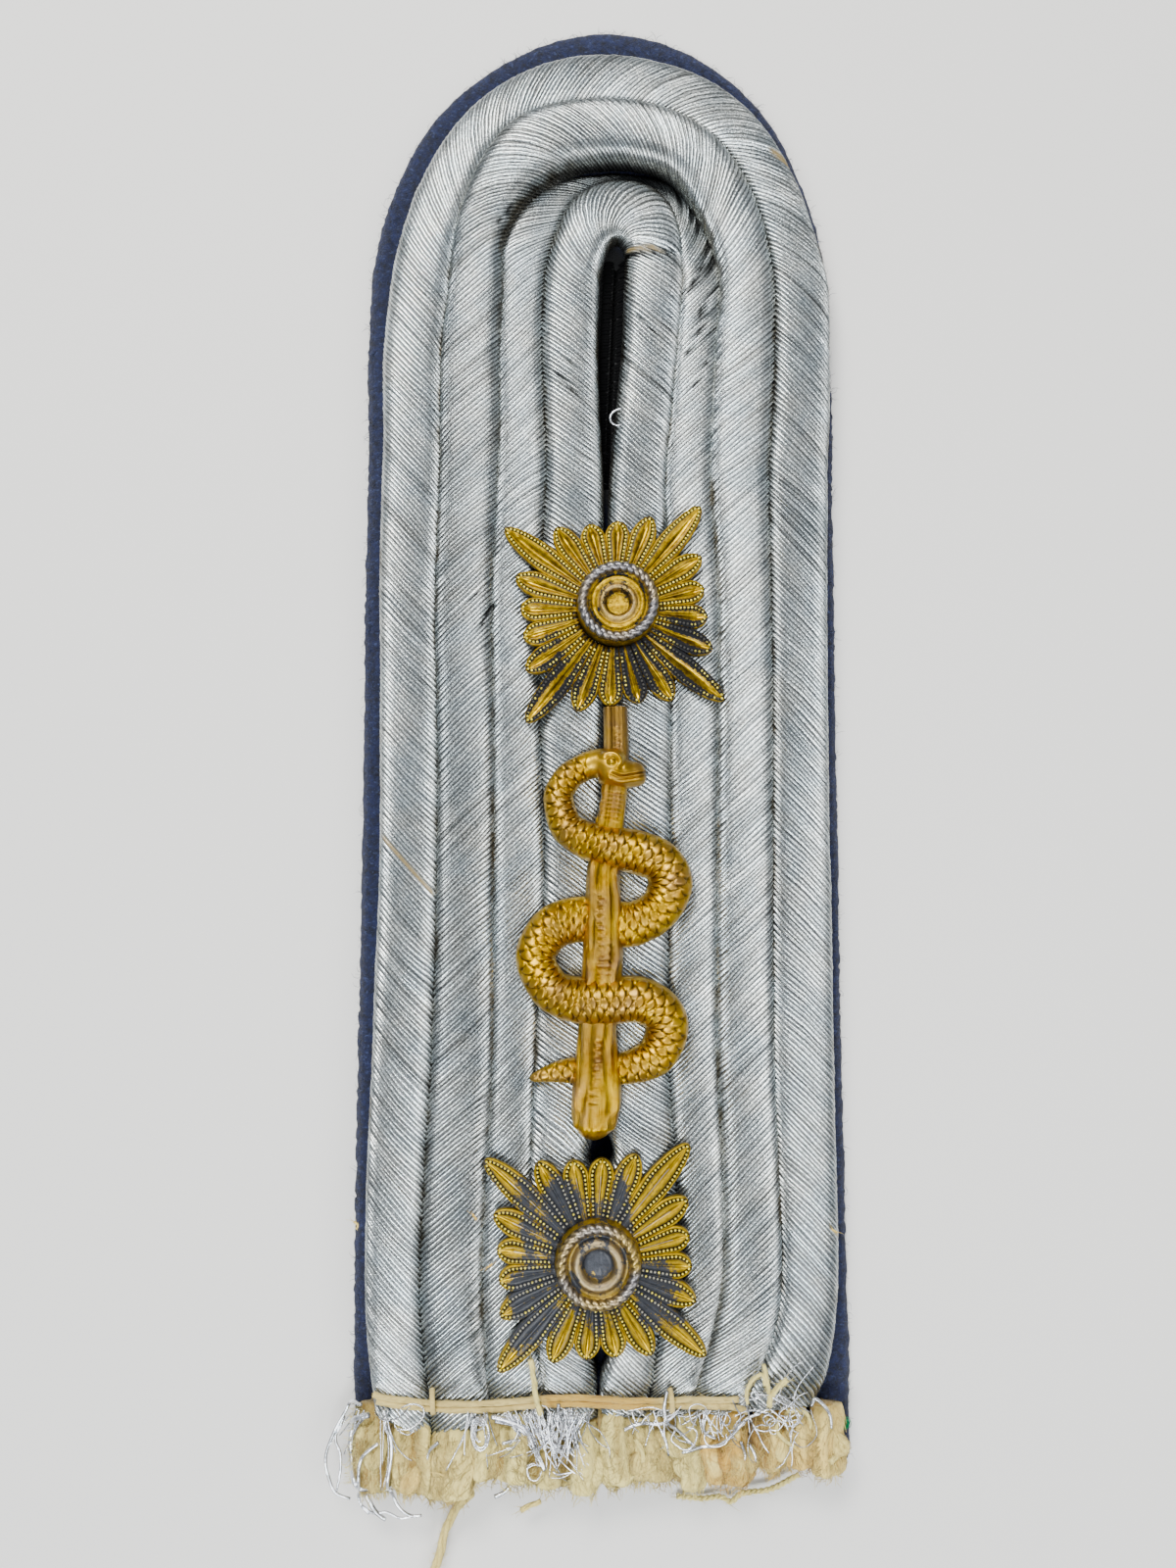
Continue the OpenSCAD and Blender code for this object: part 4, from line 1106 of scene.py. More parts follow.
def pip_sheet(shape, look):
    """The stamped petals and the beads along their edges."""
    beads = []
    for k in range(PETALS):
        corner = k % 5 == 0
        tip = PIP_CORNER * PETAL_TIP[k % 5]
        valley = PIP_CORNER * PETAL_VALLEY[k % 5]
        turned = spin(math.radians(45) + k * 2 * math.pi / PETALS)
        petal(shape, look, tip, valley, corner, turned)
        line = bead_line(tip, valley, corner)
        walked = travelled(line)
        count = int(walked[-1] / BEAD_PITCH)
        at = at_distances(line, walked, (np.arange(count) + 0.5) * walked[-1] / count)
        beads.append(np.column_stack([at @ turned, pip_height_at(at[:, 0]) - 0.04, at[:, 0] / tip]))
    beads = np.vstack(beads)
    dome_points, dome_faces = dome()
    points, faces = copies(dome_points, dome_faces, beads[:, :3], look["bead"])
    share = np.repeat(beads[:, 3], len(dome_points))
    kept = np.repeat(np.random.default_rng(91).random(len(beads)) < 0.4, len(dome_points))
    patina = look["patina"](points, share, np.full(len(points), 0.9)) - 0.1 - 0.45 * kept
    # painted highlight: every bead is painted brighter than the sheet
    shape.add(points, faces, patina=patina, polish=0.5, glow=1.0)


def rope_wave(theta, angle):
    """The rope ring's lobes, 1 on a lobe and 0 between two."""
    return np.abs(np.cos((RING_LOBES * theta + RING_SLANT * angle) / 2))


def rope(_, angle, theta):
    """Radius and height of the rope ring's skin at an angle round its section."""
    thick = RING_THICK * (0.74 + 0.3 * rope_wave(theta, angle) ** 0.6)
    return RING_RADIUS + thick * np.cos(angle), RING_HEIGHT + thick * np.sin(angle) * 1.05


def pip_boss(shape, look):
    """Raised centre: gold foot, rope ring, inner rings and a stippled cup."""
    foot = np.array(BOSS_SKIRT + look["cup"])
    rough = lathe(foot, 120)
    inner = np.hypot(rough[..., 0], rough[..., 1]) < look["cup_radius"]
    rough[..., 2] += np.where(inner, 0.06, 0.02) * noise(90, rough[..., 0] * 5, rough[..., 1] * 5)
    rows, columns = rough.shape[:2]
    flat = rough.reshape(-1, 3)
    zone, silver, dark = (np.repeat(np.interp(foot[:, 0], *table), 120)
                          for table in (look["zone"], look["silver_zone"], BOSS_RECESS))
    start = len(shape.points)
    last = (rows - 1) * columns + np.arange(columns)
    shape.add(flat, [grid(rows, columns, True)[:, ::-1], last[None, ::-1]],
              patina=zone + 0.4 * noise(94, flat[:, 0] * 2.2, flat[:, 1] * 2.2), silver=silver,
              polish=0.35, recess=dark)
    turn = np.linspace(0, 2 * math.pi, 16, endpoint=False)
    theta = np.linspace(0, 2 * math.pi, RING_STEPS, endpoint=False)
    body = lathe(np.stack([RING_RADIUS + 0 * turn, turn], -1), RING_STEPS, rope)
    flat = body.reshape(-1, 3)
    silver = np.clip(look["ring"] + 0.4 * noise(92, flat[:, 0] * 0.9, flat[:, 1] * 0.9), 0, 1)
    # painted shade between the lobes of the rope ring
    shape.add(flat, [grid(len(body) + 1, RING_STEPS, True) % len(flat)],
              patina=0.2 * noise(93, flat[:, 0] * 1.5, flat[:, 1] * 1.5), silver=silver, polish=0.8,
              recess=np.clip(1 - rope_wave(theta[None], turn[:, None]) ** 0.5, 0, 0.75))
    return start


def prongs(shape, places):
    """The bent prongs that go down through the board: a blade and a flat foot."""
    for x, y in places:
        line = np.array([(x, ORNAMENT_FLOOR + 0.5), (x, 1.2), (x + 0.02, 0.55), (x + 0.15, 0.3),
                         (x + 0.5, 0.22), (x + PRONG_FOOT - 0.5, 0.21), (x + PRONG_FOOT - 0.15, 0.22)])
        side = unit(np.gradient(line, axis=0))
        normal = np.stack([-side[:, 1], side[:, 0]], -1) * PRONG_THICK / 2
        wide = np.array([1, 1, 1, 1, 1, 0.95, 0.6]) * (PRONG_WIDE / 2)
        rings = [[[p[0] + up * n[0], y + out * w, p[1] + up * n[1]]
                  for up, out in ((1, -1), (1, 1), (-1, 1), (-1, -1))] for p, n, w in zip(line, normal, wide)]
        shape.add(rings, tube(len(line), 4), patina=0.3, worn=0.4)


def turned_pip(shape, where, boss):
    """Moves a pip's points from its own frame to its place; the centre's groups start at number boss."""
    x, y, turn, boss_x, boss_y = where
    c, s = math.cos(turn), math.sin(turn)
    for k, p in enumerate(shape.points):
        move_x, move_y = (boss_x, boss_y) if k >= boss else (0, 0)
        shape.points[k] = np.column_stack([x + move_x + c * p[:, 0] - s * p[:, 1],
                                           y + move_y + s * p[:, 0] + c * p[:, 1], ORNAMENT_FLOOR + p[:, 2]])


def clean_patina(points, share, zone):
    """Bright gilt, with black patina on the flats and beads of the lower right half."""
    x, y, _ = points.T
    lower = ramp(0.3 * x - 0.95 * y, -1.0, 4.2)
    left = ramp(-x, 3.0, 7.0) * (1 - lower)
    blotch = noise(95, x / 1.1, y / 1.1)
    amount = 0.13 + 0.84 * lower + 0.26 * left + 0.42 * blotch - 0.34 * ramp(share, 0.8, 0.98)
    return amount * (0.35 + 0.65 * zone) - 0.36 * (1 - zone)


def worn_patina(points, share, zone):
    """Grey all over, with gilt left on the petals' ends, at the right and in the lowest petals."""
    x, y, _ = points.T
    blotch = noise(96, x / 1.4, y / 1.4) + 0.5 * noise(97, x / 0.6, y / 0.6)
    low = ramp(-y - 0.35 * np.abs(x - 1.0), 2.5, 5.5)
    top = 0.25 * ramp(y - 0.8 * np.abs(x - 0.8), 3.0, 6.0)
    right = ramp(x, -1.0, 9.0)
    amount = 0.88 - 0.9 * ramp(share, 0.66 - top, 1.0) - 0.4 * right - 0.5 * low + 0.5 * blotch
    return np.clip(amount, 0.05, 0.95) - 0.2 * (1 - zone)


# What differs between the two pips. trough is the share of a petal that its smooth trough takes, cup the
# profile inside the rope ring, and each zone table holds distances from the middle and the patina or silver
# at each.
UPPER_LOOK = {
    "patina": clean_patina, "trough": 0.66, "corner_trough": 0.84, "deep": 0.24, "crease": 0.0, "bead": 0.138,
    "ring": 1.0,
    "cup": [[2.62, 2.45], [2.5, 2.42], [2.38, 2.6], [2.2, 2.72], [2.02, 2.62], [1.86, 2.42], [1.74, 2.44],
            [1.6, 2.62], [1.42, 2.7], [1.26, 2.58], [1.12, 2.2], [1.04, 1.95], [0.9, 1.9], [0.7, 1.93],
            [0.5, 1.95], [0.3, 1.96], [0.15, 1.96], [0.02, 1.96]],
    "cup_radius": 1.05,
    "zone": ([0, 1.0, 1.15, 1.45, 1.8, 2.2, 2.5, 2.8, 4.3], [0.0, 0.1, 0.45, 0.1, 0.4, -0.2, 0.55, 0.3, 0.0]),
    "silver_zone": ([0, 1.0, 1.2, 1.7, 1.9, 4.3], [0.0, 0.0, 0.4, 0.3, 0.0, 0.0]),
}
LOWER_LOOK = {
    "patina": worn_patina, "trough": 0.3, "corner_trough": 0.34, "deep": 0.12, "crease": 0.9, "bead": 0.125,
    "ring": 0.7,
    "cup": [[2.6, 2.4], [2.42, 2.3], [2.3, 2.45], [2.15, 2.7], [1.95, 2.85], [1.7, 2.88], [1.48, 2.72],
            [1.34, 2.4], [1.27, 2.05], [1.15, 1.95], [0.9, 1.95], [0.7, 1.96], [0.5, 1.96], [0.3, 1.96],
            [0.15, 1.96], [0.02, 1.96]],
    "cup_radius": 1.25,
    "zone": ([0, 1.2, 1.3, 1.5, 2.1, 2.4, 2.8, 4.3], [1.0, 1.0, 0.5, 0.3, 0.25, 0.55, 0.3, 0.2]),
    "silver_zone": ([0, 1.2, 1.4, 2.3, 2.5, 4.3], [0.0, 0.2, 0.6, 0.6, 0.2, 0.0]),
}


def pip(name, where, places, look, finish, slot):
    """A star pip in its place, with its prongs."""
    shape = Shape("patina", "silver", "polish", "recess", "glow")
    pip_sheet(shape, look)
    boss = pip_boss(shape, look)
    turned_pip(shape, where, boss)
    prongs(shape, places)
    shape.make(name, finish, slot, name.replace("_star", ""))


# Serpent staff

def swept(table, step, columns, flatness):
    """A table's line in even steps: distances, rows, direction to its left, and the section's shares."""
    rough = curve(table, np.linspace(0, len(table) - 1, 1500))
    walked = travelled(rough[:, :2])
    even = np.arange(0, walked[-1], step)
    line = at_distances(rough, walked, even)
    along = unit(np.gradient(line[:, :2], axis=0))
    side = np.stack([-along[:, 1], along[:, 0]], -1)
    turn = np.linspace(0, math.pi, columns)
    across = -np.sign(np.cos(turn)) * np.abs(np.cos(turn)) ** (2 / flatness)
    up = np.abs(np.sin(turn)) ** (2 / flatness)
    return even, line, side, across, up


def rounded_ends(even, first, last):
    """Width share that closes a band's two ends over the given lengths."""
    start = np.sqrt(np.clip(1 - (1 - np.clip(even / first, 0, 1)) ** 2, 0, 1))
    end = np.sqrt(np.clip(1 - (1 - np.clip((even[-1] - even) / last, 0, 1)) ** 2, 0, 1))
    return np.minimum(start, end)


def band(shape, line, side, across, up, wide, high, lift, relief, values):
    """Adds a closed band: domed above, flat below."""
    u = across * wide[:, None] / 2 + relief * across * 0.75
    z = up * (high[:, None] + relief) + lift[:, None] * up ** 0.5
    x = line[:, :1] + side[:, :1] * u
    y = line[:, 1:2] + side[:, 1:2] * u
    top = np.stack([x, y, ORNAMENT_FLOOR + np.maximum(z, 0.0)], -1)
    under_u = np.array([0.7, 0.0, -0.7]) * wide[:, None] / 2
    under = np.stack([line[:, :1] + side[:, :1] * under_u, line[:, 1:2] + side[:, 1:2] * under_u,
                      np.full(under_u.shape, ORNAMENT_FLOOR)], -1)
    whole = np.concatenate([top, under], 1)
    values = {key: np.concatenate([v + 0 * x, np.zeros(under_u.shape)], 1) for key, v in values.items()}
    shape.add(whole, tube(*whole.shape[:2]), **values)


def scales(p, q):
    """Height, from 0 to 1, and edge step of overlapping scales whose tips point to where p and q grow; the
    step is where painted shade goes.
    """
    fp, fq = p - np.floor(p), q - np.floor(q)
    tip = (fp ** 3 + fq ** 3) ** (1 / 3)
    step = ramp(tip, 0.86, 0.99)
    uneven = noise(101, np.floor(p) * 3.7, np.floor(q) * 5.3)
    return (0.25 + 0.42 * (fp + fq) + 0.1 * uneven) * (1 - step), step * (1 - ramp(tip, 1.05, 1.3))


def snake(shape):
    """The serpent: scales along its body, and an eye, a brow and a mouth on its head."""
    even, line, side, across, up = swept(SNAKE, 0.085, 53, 2.1)
    blunt = np.interp(even, [0, 0.1, 0.3, 0.7, 1.2], [0.5, 0.85, 1.12, 1.08, 1.0])
    wide = line[:, 2] * blunt * rounded_ends(even, 0.02, 0.5)
    s = even[:, None] + 0 * across
    c = across * wide[:, None] / 2 * 1.1

    inside = 1 - ramp(np.abs(across), 0.8, 0.9)
    body = ramp(s, 5.0, 6.2) * np.minimum(1, wide[:, None] / 2.2) * inside
    sway = 0.14 * noise(103, s / 2.2, c / 1.1)
    cells, step = scales((s + sway) / SCALE_LONG + c / SCALE_WIDE, (s + sway) / SCALE_LONG - c / SCALE_WIDE)

    away = np.hypot(s - EYE[0], c - EYE[1])
    hood = ramp(EYE[1] - c, -0.1, 0.4)
    ball = 0.3 * np.sqrt(np.clip(1 - (away / 0.32) ** 2, 0, 1))
    eye = ball - 0.16 * bell(away - 0.42, 0.1) * (0.3 + 0.7 * hood)
    brow = 0.34 * bell(away - 0.78, 0.22) * hood
    dip = -0.2 * bell(s - 2.45, 0.3) * ramp(-c, -0.1, 0.5)
    gums = np.interp(s, [0, 0.6, 1.45, 2.25, 3.1, 3.5], [0.0, 0.05, 0.16, 0.42, 0.55, 0.6])
    gape = 1 - ramp(s, 2.7, 3.2)
    mouth = -0.26 * bell(c - gums, 0.07) - 0.16 * bell(c - gums - 0.32, 0.07)
    lips = 0.12 * (bell(c - gums + 0.17, 0.09) + bell(c - gums - 0.17, 0.08))
    jaw = 0.14 * bell(c - gums - 0.62, 0.2)
    relief = 0.35 * (cells - 0.4) * body + eye + brow + dip + (1.5 * mouth + 1.2 * lips + jaw) * gape
    relief = relief + 0.03 * noise(102, s / 0.7, c / 0.7)

    snout = 0.25 * (1 - ramp(s, 2.0, 3.0))
    worn = np.clip(0.12 + 0.55 * up + 0.3 * (cells - 0.5) * body + 0.35 * brow + snout, 0, 1)
    moat = bell(away - 0.44, 0.13) * (0.35 + 0.65 * hood)
    # painted shade: at the scales' steps, round the eye, in the mouth and the dip, and along the edges
    recess = np.clip(0.85 * body * step + 0.8 * moat + gape * -3.2 * mouth - 1.2 * dip, 0, 0.9)
    recess = np.maximum(recess, 0.5 * ramp(np.abs(across), 0.94, 1.0))
    band(shape, line, side, across, up, wide, line[:, 3] * wide, line[:, 4] * rounded_ends(even, 0.3, 0.3),
         relief, {"worn": worn * (up > 0.25), "recess": recess})


def knots(s, c, number, first, last, start, end, size):
    """One row of knots on the staff, as a height."""
    inside = ramp(s, first, first + 0.3) * (1 - ramp(s, last - 0.3, last))
    at = start + (end - start) * (s - first) / (last - first) + 0.12 * drift(114 + number, s / 0.8)
    phase = s / 0.68 + 0.3 * drift(120 + number, s / 1.3)
    beat = np.abs(np.cos(math.pi * phase)) ** 0.8
    beat = beat * (0.8 + 0.35 * drift(130 + number, np.round(phase)))
    return inside * size * bell(c - at, 0.3, 4) * (beat * 1.7 - 0.5)


def staff(shape):
    """The staff: bark, long ribs, rows of knots and, near its top, short rungs."""
    even, line, side, across, up = swept(STAFF, 0.09, 41, 2.6)
    wide = line[:, 2] * rounded_ends(even, 0.05, 1.5)
    high = line[:, 3] * line[:, 2] * rounded_ends(even, 0.05, 1.3)
    s = even[:, None] + 0 * across
    c = across * wide[:, None] / 2
    share = across + 0.12 * noise(110, s / 2.2, np.sign(c))
    ribs = 0.2 * bell(np.abs(share) - 0.72, 0.14) - 0.16 * bell(np.abs(share) - 0.44, 0.1)
    ribs = ribs * (1 + 0.6 * noise(113, s / 1.4, np.sign(c)))
    relief = 0.1 * noise(111, c / 0.24, s / 2.0) + 0.09 * noise(112, c / 0.16, s / 0.7)
    relief = relief + ribs * ramp(s, 12.6, 14.6) * (1 - ramp(s, 35.4, 36.4))
    for number, row in enumerate(KNOT_ROWS):
        relief = relief + knots(s, c, number, *row)
    rungs = ramp(s, 7.6, 7.9) * (1 - ramp(s, 10.2, 10.6)) * ramp(0.8 - np.abs(share), 0.0, 0.2)
    relief = relief + 0.09 * rungs * np.cos(2 * math.pi * (s + 0.05 * noise(116, s, c)) / 0.4)
    foot = ramp(s, even[-1] - 1.5, even[-1] - 1.1)
    top = 1 - ramp(s, 4.0, 7.0)
    worn = np.clip(0.25 + 0.45 * up + 1.0 * relief + 0.5 * top, 0, 1) * (1 - foot)
    # painted shade in the low places of the relief and along the edges, and a darker tone over the whole
    # staff that grows towards its top
    recess = np.clip(-4.6 * relief + 0.12 + 0.25 * top, 0, 0.8) * (1 - foot)
    recess = np.maximum(recess, 0.6 * ramp(np.abs(across), 0.92, 1.0))
    band(shape, line, side, across, up, wide, high, np.zeros(len(even)),
         relief * rounded_ends(even, 0.05, 0.4)[:, None], {"worn": worn, "bark": 1 - foot, "recess": recess})


def serpent_staff():
    """The snake and the staff, in one piece with their prongs."""
    shape = Shape("worn", "bark", "recess")
    snake(shape)
    staff(shape)
    prongs(shape, STAFF_PRONGS)
    shape.make("serpent_on_staff", BRASS, "golden_brass", "serpent_staff")


# Frayed end

def lobe_rows():
    """Soft lobes of cut fibres that make up the tufts: long ones side by side, and short ones on them.

    Columns: middle, half width, top, bottom, lean, height of the middle line, stain and seed.
    """
    rng = np.random.default_rng(118)
    rows = []
    for middle, wide, share, stain, start in TUFTS:
        count = max(1, round(wide / 3.2))
        for k in range(count):
            off = (k + 0.5) / count - 0.5
            bottom = TUFT_START - TUFT_LENGTH * share + 1.6 * off ** 2 + rng.normal(0, 0.2)
            rows.append([middle + off * wide * 0.9 + rng.normal(0, 0.08),
                         0.52 * wide / count * rng.uniform(0.94, 1.04), start + rng.uniform(-0.2, 0.1),
                         bottom, rng.normal(0, 0.2) + 0.4 * off, 2.1 + rng.uniform(-0.2, 0.1),
                         stain * rng.uniform(0.5, 1.4), 200 + 5 * len(rows)])
        for k in range(round(0.4 * wide)):
            long = rng.uniform(2.0, 3.4)
            room = TUFT_LENGTH * share - long - 0.8
            bottom = TUFT_START - TUFT_LENGTH * share + rng.beta(0.8, 1.2) * room
            rows.append([middle + rng.uniform(-0.36, 0.36) * wide, rng.uniform(0.8, 1.3), bottom + long,
                         bottom, rng.normal(0, 0.4), 2.75 + rng.uniform(-0.3, 0.1),
                         stain * rng.uniform(0.3, 1.6), 200 + 5 * len(rows)])
    rows.append([-13.2, 0.6, -67.0, -69.1, 0.0, 1.5, 1.6, 990])
    return rows


LOBES = lobe_rows()


def lobe_skin(lobe, s, turn, out=0.0):
    """Places on a lobe's skin at a share of its length and a turn round it, moved outward by a distance."""
    middle, half, top, bottom, lean, rise, _, seed = lobe
    long = top - bottom
    small = long < SMALL_LOBE
    down = s * long
    wide = half * np.interp(s, [0, 0.12, 0.5, 0.85, 1], [0.65, 0.85, 1.04, 1.0, 0.92])
    close = np.sqrt(np.clip(1 - np.clip((s - 0.87) / 0.13, 0, 1) ** 2.4, 0.0, 1))
    if small:
        close = np.clip(1 - np.abs(2 * s - 1) ** 2.4, 0.0, 1) ** 0.6
    high = np.interp(down, LOBE_DOWN, [0.85, 1.3, 1.35]) * (0.62 if small else 1.0)
    around = turn * half
    lumps = (0.52 * noise(seed, around * 0.7, down / 1.4) + 0.2 * noise(seed + 1, around * 1.8, down / 0.7)
             + 0.08 * noise(seed + 2, around * 5, down / 0.4)) * (0.6 if small else 1.0)
    sway = 0.3 * drift(seed + 3, down / 2.5)
    x = middle + lean * s + sway + np.cos(turn) * ((wide + lumps) * close + out)
    z = BRAID_FLOOR + (rise + 0 * down if small else np.interp(down, LOBE_DOWN, [rise - 0.7, rise, rise]))
    z = z + np.sin(turn) * ((high + lumps) * close + out)
    return x, top - down + 0 * x, np.maximum(z, 0.15)


def core_skin(tuft, s, turn, number):
    """Places on the skin of the firm bundle inside a tuft."""
    middle, wide, share, _, start = tuft
    bottom = TUFT_START - TUFT_LENGTH * share + 0.5
    grow = np.interp(s, [0.0, 0.25, 0.5, 0.8, 1.0], [0.35, 0.8, 1.0, 0.98, 0.9])
    y = start + (bottom - start) * s
    sway = 0.28 * drift(200 + number, y / 2.4)
    x = middle + np.cos(turn) * wide / 2 * 1.05 * np.maximum(grow, 0.8) + sway
    z = BRAID_FLOOR + TUFT_HEIGHT * (0.42 + 0.4 * np.sign(np.sin(turn)) * np.abs(np.sin(turn)) ** 0.8 * grow)
    close = np.sqrt(np.clip(1 - np.clip((s - 0.86) / 0.14, 0, 1) ** 2.6, 0.01, 1))
    height = BRAID_FLOOR + TUFT_HEIGHT * 0.42
    return middle + (x - middle) * close, y, np.maximum(height + (z - height) * close, 0.25)


def tuft_top(x, y):
    """Height of what lies under a wire at a place: braid, cotton or the ground."""
    height = np.full(np.shape(x), 0.1)
    for middle, wide, share, *_ in TUFTS:
        bottom = TUFT_START - TUFT_LENGTH * share
        across = np.clip(1 - ((x - middle) / (wide * 0.57)) ** 2, 0, 1) ** 0.5
        ends = np.clip((y - bottom + 0.1) / 1.0, 0, 1) ** 0.5 * (y < BRAID_EDGE)
        height = np.maximum(height, (BRAID_FLOOR + TUFT_HEIGHT * (0.5 + 0.45 * across)) * (across > 0) * ends)
    return np.where(y >= BRAID_EDGE, np.maximum(height, 5.15), height)


def behind_wires(x, y):
    """How much a place on the cotton lies in the shade of the dense wires, from 0 to 1."""
    return bell(x + 4.4, 2.7, 4) * ramp(y, -66.6, -64.6)


def round_grid(rows, columns, power=1.0):
    """Shares of a bundle's length and turns round it, for a grid of points on its skin."""
    s = np.linspace(0, 1, rows)[:, None] ** power
    turn = np.linspace(-math.pi / 2, 1.5 * math.pi, columns, endpoint=False)[None]
    return s + 0 * turn, turn + 0 * s


def cotton():
    """Soft bundles of cut fibres, one to a cord or part of one."""
    shape = Shape("shade", "warm")
    s, turn = round_grid(14, 26)
    for number, tuft in enumerate(TUFTS):
        # painted shade: the firm cores inside the tufts are painted dark, for the shade between the lobes
        shape.add(np.stack(core_skin(tuft, s, turn, number), -1), tube(*s.shape), shade=0.1, warm=tuft[3])
    for lobe in LOBES:
        half, long, stain, seed = lobe[1], lobe[2] - lobe[3], lobe[6], lobe[7]
        s, turn = round_grid(*((18, 30) if long < SMALL_LOBE else (36, 60)), 0.85)
        x, y, z = lobe_skin(lobe, s, turn)
        lumps = noise(seed + 1, turn * half * 1.8, s * long / 0.7)
        # painted light on the tops of the lumps, and painted shade on the undersides and under the dense
        # wires
        shade = 0.62 + 0.5 * lumps + 0.4 * noise(seed, turn * half * 0.8, s * long / 1.2)
        shade = shade - 0.9 * (1 - np.sin(turn)) / 2 - 0.6 * behind_wires(x, y)
        warm = stain * (0.8 + 0.6 * noise(seed + 4, s * long / 1.4, turn * 0.8))
        shape.add(np.stack([x, y, z], -1), tube(*s.shape),
                  shade=np.clip(shade - 0.3 * (stain > 1.2), 0, 1), warm=np.clip(warm, 0, 1))
    shape.make("cotton_cores", COTTON, "cotton", "cotton_ends")


def walk(way, step):
    """Distance moved along one axis after each step, where way holds each step's share of it."""
    return np.cumsum(np.concatenate([np.zeros((len(way), 1)), way[:, :-1] * step], 1), 1)


def cotton_fibres():
    """Short curved fibres that stand off the tufts' skin, and finer ones at the left edge."""
    rng = np.random.default_rng(119)
    shape = Shape("shade", "warm")
    t = np.linspace(0, 1, 3)[None]
    for lobe in LOBES:
        half, long, seed = lobe[1], lobe[2] - lobe[3], lobe[7]
        count = int(FIBRE_DENSITY * long * half)
        start = rng.uniform(0.02, 1.0, (count, 1))
        turn = rng.uniform(-0.3, math.pi + 0.3, (count, 1))
        lock = noise(seed + 6, turn * half / 0.5, start * long / 1.6)
        heading = 0.9 * noise(seed + 7, turn * half / 0.9, start * long / 1.8)
        heading = heading + rng.normal(0, 0.3, (count, 1))
        heading = heading + rng.normal(0, 0.6, (count, 1)) * t
        size = rng.uniform(0.5, 1.7, (count, 1)) * t
        down = start + size * np.cos(heading) / long
        x, y, z = lobe_skin(lobe, np.clip(down, 0, LOBE_END), turn + size * np.sin(heading) / half,
                            0.01 + 0.35 * t * rng.random((count, 1)) ** 3)
        y = y - 0.7 * long * np.maximum(down - LOBE_END, 0)
        shade = np.clip(0.75 + 0.6 * lock + rng.normal(0, 0.18, (count, 1)), 0.1, 1.25)
        strands(shape, np.stack([x, y, z], -1), rng.uniform(0.018, 0.04, (count, 1)) * (1 - 0.5 * t ** 2),
                shade=shade * (1 - 0.7 * behind_wires(x, y)),
                warm=np.clip(lobe[6], 0, 1) * rng.uniform(0.3, 1.2, (count, 1)))
    x, y, z = (rng.uniform(low, high, (LEFT_COUNT, 1)) for low, high in LEFT_FLUFF)
    turned = rng.normal(-0.9, 0.4, (LEFT_COUNT, 1)) + rng.normal(0, 1.2, (LEFT_COUNT, 1)) * t
    step = rng.uniform(0.3, 2.2, (LEFT_COUNT, 1)) / 3
    paths = np.stack([x + walk(np.sin(turned), step), y - walk(np.cos(turned), step), z - 0.4 * t], -1)
    strands(shape, paths, 0.016, shade=1.0, warm=0.0)
    shape.make("cotton_fibres", COTTON, "cotton")


def laid(line, radius, step, seed, lift=0.0, ground=0.1):
    """A line of x and y, made smooth and laid on whatever is under it."""
    rough = curve(np.array(line, float), np.linspace(0, len(line) - 1, 30 * len(line)))
    walked = travelled(rough)
    even = np.linspace(0, walked[-1], max(4, int(walked[-1] / step)))
    x, y = at_distances(rough, walked, even).T
    x = x + 0.04 * drift(seed, even / 1.1)
    y = y + 0.04 * drift(seed + 1, even / 1.1)
    z = np.maximum(tuft_top(x, y), ground)
    wide = 2 * max(2, int(0.8 / step)) + 1
    soft = np.convolve(np.pad(z, wide // 2, mode="edge"), np.ones(wide) / wide, "valid")
    z = np.maximum(soft, z - 0.5) + radius + 0.06 + lift + 0.12 * np.abs(drift(seed + 2, even / 1.5))
    return np.column_stack([x, y, z])


def wandering(at, across, down, step, rng, lift):
    """A loose wire that goes on from a place in the given shares of a step, laid on what is under it."""
    line = at + np.vstack([[0, 0], np.cumsum(np.stack([across, down], -1), 0) * step])
    return laid(line, 0.08, 0.2, int(rng.integers(400, 9000)), rng.uniform(*lift), 2.6)


